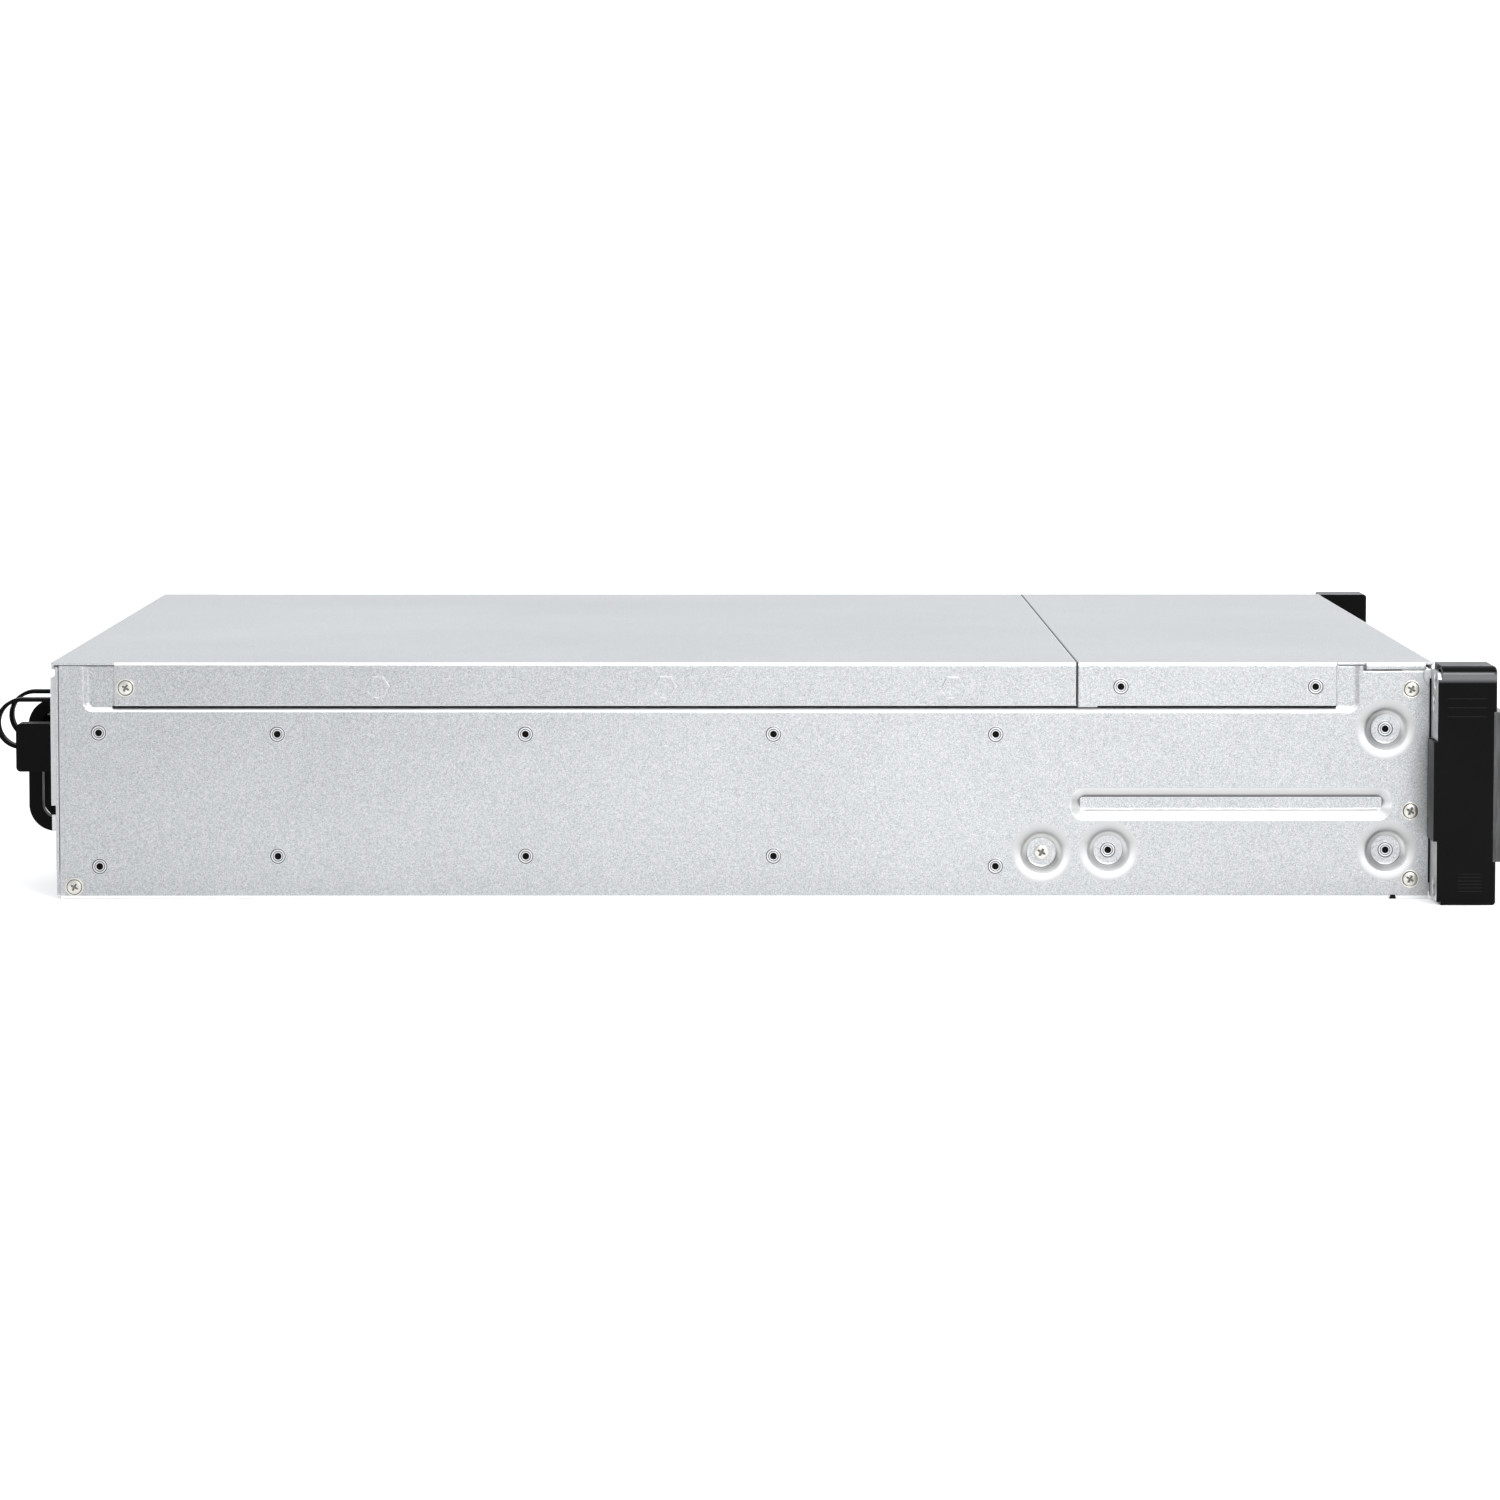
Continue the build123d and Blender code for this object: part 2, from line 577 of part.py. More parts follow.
def make_ear_trim(has_button):
    """Crowned metal strip seated in the front of a moulding."""
    left = -EAR_HALF
    right = -CAGE_HALF - SEAT
    seat_y = EAR_FRONT_Y + TRIM_SEAT
    side_y = seat_y - TRIM_THICKNESS + TRIM_CROWN
    crown_y = seat_y - TRIM_THICKNESS
    sides = Polyline((left, side_y), (left, seat_y), (right, seat_y), (right, side_y))
    crown = ThreePointArc((right, side_y), ((left + right) / 2, crown_y), (left, side_y))
    trim = extrude(make_face(sides + crown), TRIM_HIGH - TRIM_LOW)
    trim = Pos(0, 0, TRIM_LOW) * trim
    if has_button:
        trim -= button_bore()
        trim -= lamp_window()
    return trim


def make_power_button():
    """Sprung button: a stem through the trim with a retaining collar behind the moulding's wall."""
    collar_front = EAR_FRONT_Y + TRIM_SEAT + MOULDING_WALL + BUTTON_PLAY
    front = EAR_FRONT_Y + TRIM_SEAT - TRIM_THICKNESS - SEAT
    stem = cylinder_y(BUTTON_X, front, collar_front, BUTTON_RISE, BUTTON_RADIUS)
    collar_rear = collar_front + BUTTON_TRAVEL
    collar_radius = BUTTON_RADIUS + 1.5 * BUTTON_TRAVEL
    return stem + cylinder_y(BUTTON_X, collar_front, collar_rear, BUTTON_RISE, collar_radius)


def make_drive_cage():
    """Sheet box of bays: outer walls, dividers, floor, roof and the ledges that carry the trays."""
    low = SHEET
    top = SHEET + CAGE_HEIGHT
    cage = block(-CAGE_HALF, CAGE_HALF, CAGE_FRONT_Y, CAGE_REAR_Y, low, top)
    for x in COLUMN_XS:
        half = BAY_WIDTH / 2
        cage -= block(x - half, x + half, CAGE_FRONT_Y, CAGE_REAR_Y, low + CAGE_SHEET, top - CAGE_SHEET)
        for floor in ROW_FLOORS[1:]:
            for start in (x - half, x + half - LEDGE):
                cage += block(start, start + LEDGE, CAGE_FRONT_Y, CAGE_REAR_Y, floor - CAGE_SHEET, floor)
    return cage


def make_tray_carrier():
    """One tray with its lever's pin, at the middle of the width, its bay's floor at height zero."""
    half = COLUMN_PITCH / 2 - BEZEL_PLAY
    low = (ROW_CLEAR - ROW_PITCH) / 2 + BEZEL_PLAY
    high = low + ROW_PITCH - 2 * BEZEL_PLAY
    body = block(-half, half, BEZEL_FRONT_Y, BEZEL_REAR_Y, low, high)
    body = chamfer(body.faces().sort_by(Axis.Y)[0].edges(), BEZEL_WALL / 2)
    wall = BEZEL_WALL
    body -= block(-half + wall, half - wall, BEZEL_FRONT_Y + wall, BEZEL_REAR_Y, low + wall, high - wall)
    pocket_left = LEVER_AXIS_X - LEVER_AXIS_DEPTH - 2 * LEVER_PLAY
    pocket_right = LEVER_LENGTH / 2 + LEVER_RIB + LEVER_PLAY
    pocket_high = POCKET_RISE + LEVER_HEIGHT + 2 * LEVER_PLAY
    pocket_rear = BEZEL_FRONT_Y + POCKET_DEPTH
    body += block(
        pocket_left - POCKET_WALL, pocket_right + POCKET_WALL, BEZEL_FRONT_Y + wall,
        pocket_rear + POCKET_WALL, POCKET_RISE - POCKET_WALL, pocket_high + POCKET_WALL
    )
    body -= block(pocket_left, pocket_right, BEZEL_FRONT_Y, pocket_rear, POCKET_RISE, pocket_high)
    louvre_half = LEVER_LENGTH / 2
    louvre_z = pocket_high + POCKET_WALL + LOUVRE
    for index in range(LOUVRE_COUNT):
        z = louvre_z + index * LOUVRE_PITCH
        body -= block(
            -louvre_half, louvre_half, BEZEL_FRONT_Y, BEZEL_FRONT_Y + wall, z - LOUVRE / 2, z + LOUVRE / 2
        )
    body += cylinder_z(LEVER_AXIS_X, LEVER_AXIS_Y, POCKET_RISE, pocket_high, LEVER_PIN)
    outer = BAY_WIDTH / 2 - RAIL_PLAY
    rail = block(
        -outer, -outer + RAIL, BEZEL_REAR_Y - 2 * wall, CAGE_REAR_Y - CONNECTOR_ROOM + SEAT,
        SEAT, DRIVE_HEIGHT - ROW_PLAY
    )
    centre = CAGE_FRONT_Y + DRIVE_LENGTH / 2
    slot_half = DRIVE_LENGTH / 3
    rail -= block(
        -outer, -outer + RAIL, centre - slot_half, centre + slot_half,
        DRIVE_HEIGHT / 3, DRIVE_HEIGHT * 2 / 3
    )
    return body + both_sides(rail)


def make_drive():
    """A 3.5-inch drive with its lid stepped in."""
    half = DRIVE_WIDTH / 2
    front = CAGE_FRONT_Y + SEAT
    rear = front + DRIVE_LENGTH
    low = ROW_PLAY / 2
    drive = block(-half, half, front, rear, low, low + DRIVE_HEIGHT)
    step = DRIVE_HEIGHT / 6
    drive -= block(-half, half, front, rear, low + DRIVE_HEIGHT - step, low + DRIVE_HEIGHT)
    lid = block(
        -half + step, half - step, front + step, rear - step,
        low + DRIVE_HEIGHT - step, low + DRIVE_HEIGHT
    )
    return drive + lid


def make_lever():
    """Pull lever bored for its pin: a plate with ribbed edges, a boss and a hooked free end."""
    low = POCKET_RISE + LEVER_PLAY
    high = low + LEVER_HEIGHT
    right = LEVER_LENGTH / 2
    front = BEZEL_FRONT_Y
    lever = block(LEVER_AXIS_X, right, front, front + LEVER_SHEET, low, high)
    for start in (low, high - LEVER_SHEET / 2):
        lever += block(
            LEVER_AXIS_X, right, front + LEVER_SHEET, front + LEVER_RIB, start, start + LEVER_SHEET / 2
        )
    lever += block(right - LEVER_SHEET, right, front, front + LEVER_RIB + LEVER_SHEET, low, high)
    lever += prism_z(LEVER_AXIS_X, LEVER_AXIS_Y, low, high, LEVER_BOSS, 8)
    lever += block(
        LEVER_AXIS_X - LEVER_BOSS / 2, LEVER_AXIS_X + LEVER_BOSS, front, front + LEVER_SHEET, low, high
    )
    return lever - cylinder_z(LEVER_AXIS_X, LEVER_AXIS_Y, low, high, LEVER_PIN + SHAFT_PLAY)


def make_backplane():
    """Circuit board across the cage's rear with one connector per bay and air slots."""
    low = SHEET + CAGE_SHEET
    board = block(
        -CAGE_HALF + CAGE_SHEET, CAGE_HALF - CAGE_SHEET, BACKPLANE_Y, BACKPLANE_Y + BOARD,
        low, low + CAGE_HEIGHT - 2 * CAGE_SHEET
    )
    for x in COLUMN_XS:
        for floor in ROW_FLOORS:
            centre = floor + ROW_CLEAR * 0.7
            board -= block(
                x - BAY_WIDTH / 3, x + BAY_WIDTH / 3, BACKPLANE_Y, BACKPLANE_Y + BOARD,
                centre - ROW_CLEAR / 6, centre + ROW_CLEAR / 6
            )
            board += block(
                x - BAY_WIDTH / 5, x + BAY_WIDTH / 5, CAGE_REAR_Y - CONNECTOR_ROOM + 2 * SEAT, BACKPLANE_Y,
                floor + ROW_PLAY, floor + ROW_CLEAR / 3
            )
    return board


def make_fan_wall():
    """Folded wall with a round opening per fan and feet on the chassis floor."""
    half = INNER_X - RECESS_DEPTH - SEAT - SHEET
    wall = block(-half, half, FAN_WALL_Y, FAN_Y, SHEET, WALL_TOP - SHEET - SEAT)
    wall += block(-half, half, FAN_WALL_Y, FAN_Y + FAN_DEPTH, SHEET, SHEET + FAN_WALL_SHEET)
    for x in FAN_XS:
        wall -= cylinder_y(x, FAN_WALL_Y, FAN_Y, FAN_Z, FAN_BORE)
    return wall


def make_fan_frame(x):
    """Square fan frame with a round bore, three struts and the motor's seat."""
    half = FAN_SIZE / 2
    rear = FAN_Y + FAN_DEPTH
    strut = FAN_DEPTH / 8
    frame = block(x - half, x + half, FAN_Y, rear, FAN_Z - half, FAN_Z + half)
    frame = chamfer(frame.edges().filter_by(Axis.Y), MOULDING_ROUND)
    frame -= cylinder_y(x, FAN_Y, rear, FAN_Z, FAN_BORE)
    spoke = block(-strut / 2, strut / 2, rear - strut, rear, 0, FAN_BORE + strut / 2)
    for index in range(3):
        frame += Pos(x, 0, FAN_Z) * Rot(0, 60 + 120 * index, 0) * spoke
    frame += cylinder_y(x, rear - strut, rear, FAN_Z, FAN_HUB - strut / 2)
    return frame - cylinder_y(x, rear - strut, rear, FAN_Z, FAN_SHAFT + SHAFT_PLAY)


def make_blade(middle_y):
    """Cambered blade that stands on the hub, above the axis, and ends past the rotor's tip."""
    x = BLADE_SPREAD / 2
    low = -BLADE_DEPTH / 2
    high = BLADE_DEPTH / 2 - BLADE
    lower = ThreePointArc((-x, low), (BLADE_CAMBER, -BLADE_CAMBER), (x, high))
    upper = ThreePointArc((-x, low + BLADE), (BLADE_CAMBER, BLADE - BLADE_CAMBER), (x, high + BLADE))
    ends = Line((-x, low), (-x, low + BLADE)) + Line((x, high), (x, high + BLADE))
    section = make_face(lower + upper + ends)
    foot = Plane(origin=(0, middle_y, FAN_HUB - 2 * BLADE), x_dir=(1, 0, 0), z_dir=(0, 0, 1))
    return extrude(foot * section, FAN_BORE - FAN_HUB + 2 * BLADE)


def make_fan_rotor(x):
    """Hub with cambered blades and a shaft that runs in the motor's seat."""
    front = FAN_Y + FAN_TIP_GAP
    depth = FAN_DEPTH * 0.75
    rotor = cylinder_y(x, front, front + depth, FAN_Z, FAN_HUB)
    blade = make_blade(front + depth / 2)
    for index in range(FAN_BLADES):
        rotor += Pos(x, 0, FAN_Z) * Rot(0, 360 / FAN_BLADES * index, 0) * blade
    rotor &= cylinder_y(x, front, front + depth, FAN_Z, FAN_BORE - FAN_TIP_GAP)
    return rotor + cylinder_y(x, front + depth, FAN_Y + FAN_DEPTH, FAN_Z, FAN_SHAFT)


def standoff_points():
    inset = BOARD_STANDOFF
    xs = [BOARD_LEFT + inset, (BOARD_LEFT + BOARD_RIGHT) / 2, BOARD_RIGHT - inset]
    return [(x, y) for x in xs for y in (BOARD_FRONT_Y + inset, BOARD_REAR_Y - inset)]


def make_clinch_hardware():
    """Hexagonal standoffs that carry the main board."""
    return group([prism_z(x, y, SHEET, BOARD_Z, STANDOFF_RADIUS, 6) for x, y in standoff_points()])


def make_screws():
    """Heads of the ears' screws and of the rear corners' screws."""
    points = [(FRONT_Y + EAR_SCREW_SETBACK, height) for height in EAR_SCREW_HEIGHTS]
    points += [(REAR_Y - CORNER_SCREW_SETBACK, CORNER_SCREW_HEIGHT)]
    head_x = -HALF_WIDTH - SCREW_HEAD_HEIGHT
    left = group([cylinder_x(head_x, -HALF_WIDTH, y, height, SCREW_HEAD) for y, height in points])
    return group([left, mirror(left, about=Plane.YZ)])


def jack_xs():
    return [JACK_LEFT + JACK_PITCH * (index + 0.5) for index in range(JACK_COUNT)]


def rear_socket_blocks():
    """Outer boxes of the rear sockets: network jacks, twin data ports, console, expansion."""
    base = BOARD_TOP + SEAT
    jack_right = JACK_LEFT + JACK_PITCH * JACK_COUNT
    jacks = (JACK_LEFT, jack_right, base, base + JACK_HEIGHT + 3 * SOCKET_WALL)
    ports_left = jack_right + PORTS_GAP
    ports_right = ports_left + PORTS_WIDTH
    ports = (ports_left, ports_right, base, base + PORTS_HEIGHT)
    expansion_left = ports_right + EXPANSION_GAP
    expansion = (expansion_left, expansion_left + EXPANSION_WIDTH, base, base + EXPANSION_HEIGHT)
    return jacks, ports, expansion


def make_rear_ports():
    """Metal-shelled sockets on the board's rear edge, each hollow from its mouth."""
    mouth = PANEL_FACE_Y + SEAT
    jacks, ports, expansion = rear_socket_blocks()
    depth = JACK_DEPTH + 2 * SOCKET_WALL
    shells = []
    for x0, x1, z0, z1 in (jacks, ports, expansion):
        shells.append(block(x0, x1, mouth - depth, mouth, z0, z1))
    jack_shell = shells[0]
    for x in jack_xs():
        low = jacks[2] + SOCKET_WALL * 2
        half = JACK_WIDTH / 2
        jack_shell -= block(x - half, x + half, mouth - JACK_DEPTH, mouth, low, low + JACK_HEIGHT)
        jack_shell -= block(x - half / 3, x + half / 3, mouth - JACK_DEPTH, mouth, low - SOCKET_WALL, low)
    port_shell = shells[1]
    port_left = ports[0] + PORT_SHELL
    port_right = ports[1] - PORT_SHELL
    port_pitch = PORTS_HEIGHT / 2
    for floor in (ports[2], ports[2] + port_pitch):
        low = floor + 1.5 * PORT_SHELL
        high = floor + port_pitch - 1.5 * PORT_SHELL
        port_shell -= block(port_left, port_right, mouth - JACK_DEPTH, mouth, low, high)
        port_shell += block(
            port_left + PORT_TONGUE_INSET, port_right - PORT_TONGUE_INSET, mouth - JACK_DEPTH,
            mouth - PORT_TONGUE_INSET, high - 2 * PORT_TONGUE, high - PORT_TONGUE
        )
    expansion_shell = shells[2]
    expansion_shell -= block(
        expansion[0] + SOCKET_WALL, expansion[1] - SOCKET_WALL, mouth - JACK_DEPTH, mouth,
        expansion[2] + SOCKET_WALL, expansion[3] - SOCKET_WALL
    )
    return group([jack_shell, port_shell, expansion_shell])


def make_rear_panel():
    """Rear plate with folded side flanges, vents and cut-outs for what shows through it."""
    outer = HALF_WIDTH - SEAT
    plate = block(-outer, outer, PANEL_Y, PANEL_FACE_Y, SHEET + SEAT, WALL_TOP - SEAT)
    flange_outer = INNER_X - SEAT / 2
    flange = block(
        -flange_outer, -flange_outer + COVER_SHEET, REAR_Y - RECESS_REAR + SEAT, PANEL_Y,
        SHEET + SEAT, WALL_TOP - FLANGE_DROP
    )
    notch = block(-outer, -flange_outer, PANEL_Y, PANEL_FACE_Y, 0, FLANGE_DROP * 2 / 3)
    plate += both_sides(flange)
    plate -= both_sides(notch)
    gap = PSU_PLAY
    plate -= block(
        PSU_LEFT - gap, PSU_CAGE_RIGHT - PSU_CAGE_SHEET, PANEL_Y, PANEL_FACE_Y,
        PSU_LOW - gap, PSU_HIGH + gap
    )
    for index in range(VENT_COUNT):
        x = VENT_CENTRE + (index - (VENT_COUNT - 1) / 2) * VENT_PITCH
        plate -= block(
            x - VENT_WIDTH / 2, x + VENT_WIDTH / 2, PANEL_Y, PANEL_FACE_Y, VENT_LOW, VENT_HIGH
        )
    for x0, x1, z0, z1 in rear_socket_blocks():
        plate -= block(
            x0 - SOCKET_PLAY, x1 + SOCKET_PLAY, PANEL_Y, PANEL_FACE_Y, z0 - SOCKET_PLAY, z1 + SOCKET_PLAY
        )
    half = SLOT_COVER_WIDTH / 2 - SHEET * 2
    low = CHASSIS_HEIGHT / 2 - SLOT_COVER_HEIGHT / 2
    plate -= block(
        SLOT_COVER_X - half, SLOT_COVER_X + half, PANEL_Y, PANEL_FACE_Y,
        low + SHEET * 3, low + SLOT_COVER_HEIGHT - SHEET * 3
    )
    return plate


def make_slot_cover():
    """Blank bracket behind the expansion opening."""
    half = SLOT_COVER_WIDTH / 2
    low = CHASSIS_HEIGHT / 2 - SLOT_COVER_HEIGHT / 2
    return block(
        SLOT_COVER_X - half, SLOT_COVER_X + half, PANEL_Y - COVER_SHEET, PANEL_Y,
        low, low + SLOT_COVER_HEIGHT
    )


def make_motherboard():
    """Main board with its processor socket and memory sockets."""
    board = block(BOARD_LEFT, BOARD_RIGHT, BOARD_FRONT_Y, BOARD_REAR_Y, BOARD_Z, BOARD_TOP)
    half_length = MEMORY_SOCKET_LENGTH / 2
    for x, y in memory_points():
        board += block(
            x - MEMORY_SOCKET_WIDTH / 2, x + MEMORY_SOCKET_WIDTH / 2, y - half_length, y + half_length,
            BOARD_TOP, BOARD_TOP + MEMORY_SOCKET_HEIGHT
        )
    x, y = heatsink_point()
    half = CPU_SOCKET / 2
    board += block(x - half, x + half, y - half, y + half, BOARD_TOP, BOARD_TOP + CPU_SOCKET_HEIGHT)
    return board


def board_middle():
    return (BOARD_LEFT + BOARD_RIGHT) / 2, (BOARD_FRONT_Y + BOARD_REAR_Y) / 2


def heatsink_point():
    x, y = board_middle()
    return x + SINK_OFFSET, y


def memory_points():
    x, y = board_middle()
    return [(x + MEMORY_OFFSET + MEMORY_PITCH * index, y) for index in range(MEMORY_COUNT)]


def make_heatsink():
    """Finned heatsink: a base plate with thin upright fins along the air flow."""
    x, y = heatsink_point()
    half = SINK_WIDTH / 2
    base = BOARD_TOP + CPU_SOCKET_HEIGHT
    root = base + SINK_BASE
    sink = block(x - half, x + half, y - half, y + half, base, root)
    fin_pitch = (SINK_WIDTH - SINK_FIN) / (SINK_FINS - 1)
    for index in range(SINK_FINS):
        left = x - half + index * fin_pitch
        sink += block(left, left + SINK_FIN, y - half, y + half, root, root + SINK_FIN_HEIGHT)
    return sink


def make_memory():
    modules = []
    low = BOARD_TOP + MEMORY_SOCKET_HEIGHT
    for x, y in memory_points():
        modules.append(block(
            x - MEMORY_SHEET / 2, x + MEMORY_SHEET / 2, y - MEMORY_LENGTH / 2, y + MEMORY_LENGTH / 2,
            low, low + MEMORY_HEIGHT
        ))
    return group(modules)


def psu_left(index):
    return PSU_LEFT + index * PSU_PITCH


def make_psu_cage():
    """Sheet channel with one vertical bay per supply, standing on the chassis floor."""
    top = PSU_HIGH + PSU_PLAY + PSU_CAGE_SHEET
    low = PSU_LOW - PSU_PLAY
    rear = PANEL_Y - SEAT
    cage = block(PSU_CAGE_LEFT, PSU_CAGE_RIGHT, PSU_CAGE_FRONT_Y, rear, SHEET, top)
    for index in range(PSU_COUNT):
        left = psu_left(index) - PSU_PLAY
        right = left + PSU_WIDTH + 2 * PSU_PLAY
        cage -= block(left, right, PSU_CAGE_FRONT_Y, rear, low, top - PSU_CAGE_SHEET)
        cage -= block(left, right, PSU_CAGE_FRONT_Y, rear, SHEET, low - PSU_CAGE_SHEET)
    return cage


def make_power_board():
    """Distribution board that closes the front of the supply cage."""
    return block(
        PSU_CAGE_LEFT, PSU_CAGE_RIGHT, PSU_CAGE_FRONT_Y - BOARD, PSU_CAGE_FRONT_Y,
        PSU_LOW, PSU_HIGH
    )


def inlet_span(index):
    left = psu_left(index) + CLAMP_INSET + CLAMP_WIDTH + INLET_GAP
    return left, left + INLET_WIDTH


def make_psu_case(index):
    """Supply case with a raised brow on its rear face, a grille, and seats for inlet and latch."""
    left = psu_left(index)
    right = left + PSU_WIDTH
    front = PSU_FACE_Y - PSU_LENGTH
    case = block(left, right, front, PSU_FACE_Y, PSU_LOW, PSU_HIGH)
    case += block(left, right, PSU_FACE_Y, PSU_BROW_Y, PSU_HIGH - PSU_BROW_DROP, PSU_HIGH)
    x0, x1 = inlet_span(index)
    case -= block(
        x0 - SOCKET_PLAY / 2, x1 + SOCKET_PLAY / 2, PSU_BROW_Y - INLET_DEPTH - SOCKET_PLAY, PSU_BROW_Y,
        INLET_RISE - INLET_HEIGHT / 2 - SOCKET_PLAY / 2, INLET_RISE + INLET_HEIGHT / 2 + SOCKET_PLAY / 2
    )
    for row in range(GRILLE_COUNT):
        z = PSU_LOW + (row + 1) * GRILLE_PITCH
        case -= block(
            left + GRILLE_LEFT, right - GRILLE_RIGHT, PSU_FACE_Y - GRILLE_DEPTH, PSU_FACE_Y,
            z, z + GRILLE_SLOT
        )
    latch_low = LATCH_RISE - LATCH_HEIGHT / 2 - SEAT
    latch_high = LATCH_RISE + LATCH_HEIGHT / 2 + SEAT
    case -= block(
        left, left + LATCH_SHEET + LATCH_SWING + 2 * SEAT, PSU_FACE_Y - LATCH_ARM - 3 * LATCH_PIN,
        PSU_FACE_Y, latch_low, latch_high
    )
    case += latch_pin(index, latch_low, latch_high)
    return case


def latch_axis(index):
    return psu_left(index) + SEAT + LATCH_PIN + LATCH_SHEET / 2, PSU_FACE_Y - LATCH_ARM


def latch_pin(index, low, high):
    x, y = latch_axis(index)
    return cylinder_z(x, y, low, high, LATCH_PIN / 2)


def make_psu_latch(index):
    """Thin release arm that swings on a pin in the case, with its thumb tab past the rear face."""
    x, y = latch_axis(index)
    low = LATCH_RISE - LATCH_HEIGHT / 2
    high = LATCH_RISE + LATCH_HEIGHT / 2
    left = psu_left(index) + SEAT
    arm = block(left, left + LATCH_SHEET, y, PSU_FACE_Y + LATCH_REACH, low, high)
    arm += prism_z(x, y, low, high, LATCH_PIN, 8)
    return arm - cylinder_z(x, y, low, high, LATCH_PIN / 2 + SHAFT_PLAY)


def make_psu_handle(index):
    """Bent pull handle whose ends stand on the supply's rear face."""
    left = inlet_span(index)[1] + HANDLE_GAP
    height = HANDLE_HIGH - HANDLE_LOW
    depth = 2 * HANDLE_REACH
    centre = (PSU_FACE_Y, (HANDLE_LOW + HANDLE_HIGH) / 2)
    ring = RectangleRounded(depth, height, HANDLE_BEND)
    ring -= RectangleRounded(depth - 2 * HANDLE_BAR, height - 2 * HANDLE_BAR, HANDLE_BEND - HANDLE_BAR)
    bar = extrude(Plane.YZ * Pos(*centre) * ring, HANDLE_WIDTH)
    bar = Pos(left, 0, 0) * bar
    bar -= block(left, left + HANDLE_WIDTH, REAR_Y - HANDLE_REACH, PSU_FACE_Y, 0, CHASSIS_HEIGHT)
    brow_low = PSU_HIGH - PSU_BROW_DROP
    return bar - block(left, left + HANDLE_WIDTH, PSU_FACE_Y, PSU_BROW_Y, brow_low, CHASSIS_HEIGHT)


def make_psu_inlet(index):
    """Mains inlet standing upright: a shrouded socket with three blades."""
    x0, x1 = inlet_span(index)
    low = INLET_RISE - INLET_HEIGHT / 2
    high = INLET_RISE + INLET_HEIGHT / 2
    floor_y = PSU_BROW_Y - INLET_DEPTH + INLET_WALL
    body = block(x0, x1, PSU_BROW_Y - INLET_DEPTH, PSU_BROW_Y, low, high)
    cavity = block(
        x0 + INLET_WALL, x1 - INLET_WALL, floor_y, PSU_BROW_Y, low + INLET_WALL, high - INLET_WALL
    )
    corner = cavity.edges().filter_by(Axis.Y).group_by(Axis.X)[-1]
    body -= chamfer(corner, 2 * INLET_WALL)
    middle = (x0 + x1) / 2 + INLET_WALL
    for step in (-1, 0, 1):
        z = INLET_RISE + step * INLET_HEIGHT / 4
        x = middle + (INLET_PIN if step == 0 else -INLET_PIN / 2)
        body += block(
            x - INLET_PIN, x + INLET_PIN, floor_y, PSU_BROW_Y - 2 * INLET_PIN,
            z - INLET_PIN / 2, z + INLET_PIN / 2
        )
    return body


def make_cord_retainer(index):
    """Cord clamp on its ratchet strap: the strap leaves the brow, loops out and enters the clamp."""
    left = psu_left(index) + CLAMP_INSET
    right = left + CLAMP_WIDTH
    centre_x = (left + right) / 2
    rear = PSU_BROW_Y + CLAMP_DEPTH
    low = INLET_RISE - CLAMP_HEIGHT / 2
    clamp = block(left, right, PSU_BROW_Y, rear, low, low + CLAMP_HEIGHT)
    clamp = fillet(clamp.edges().filter_by(Axis.X), CLAMP_ROUND)
    clamp -= cylinder_y(centre_x, PSU_BROW_Y, rear, low + CLAMP_EYE_RISE, CLAMP_EYE)
    turn_y = rear - STRAP_RADIUS / 5
    turn_z = INLET_RISE + STRAP_RADIUS
    ring = Circle(STRAP_RADIUS + STRAP / 2) - Circle(STRAP_RADIUS - STRAP / 2)
    outward = Pos(STRAP_RADIUS, 0) * Rectangle(2 * STRAP_RADIUS, 4 * STRAP_RADIUS)
    bow = Pos(turn_y, turn_z) * (ring & outward)
    straight = Pos((PSU_BROW_Y + turn_y) / 2, turn_z + STRAP_RADIUS) * Rectangle(turn_y - PSU_BROW_Y, STRAP)
    strap = Pos(centre_x - STRAP_WIDTH / 2, 0, 0) * extrude(Plane.YZ * (bow + straight), STRAP_WIDTH)
    strap -= block(left, right, PSU_BROW_Y, rear, 0, low + CLAMP_HEIGHT)
    return group([clamp, strap])


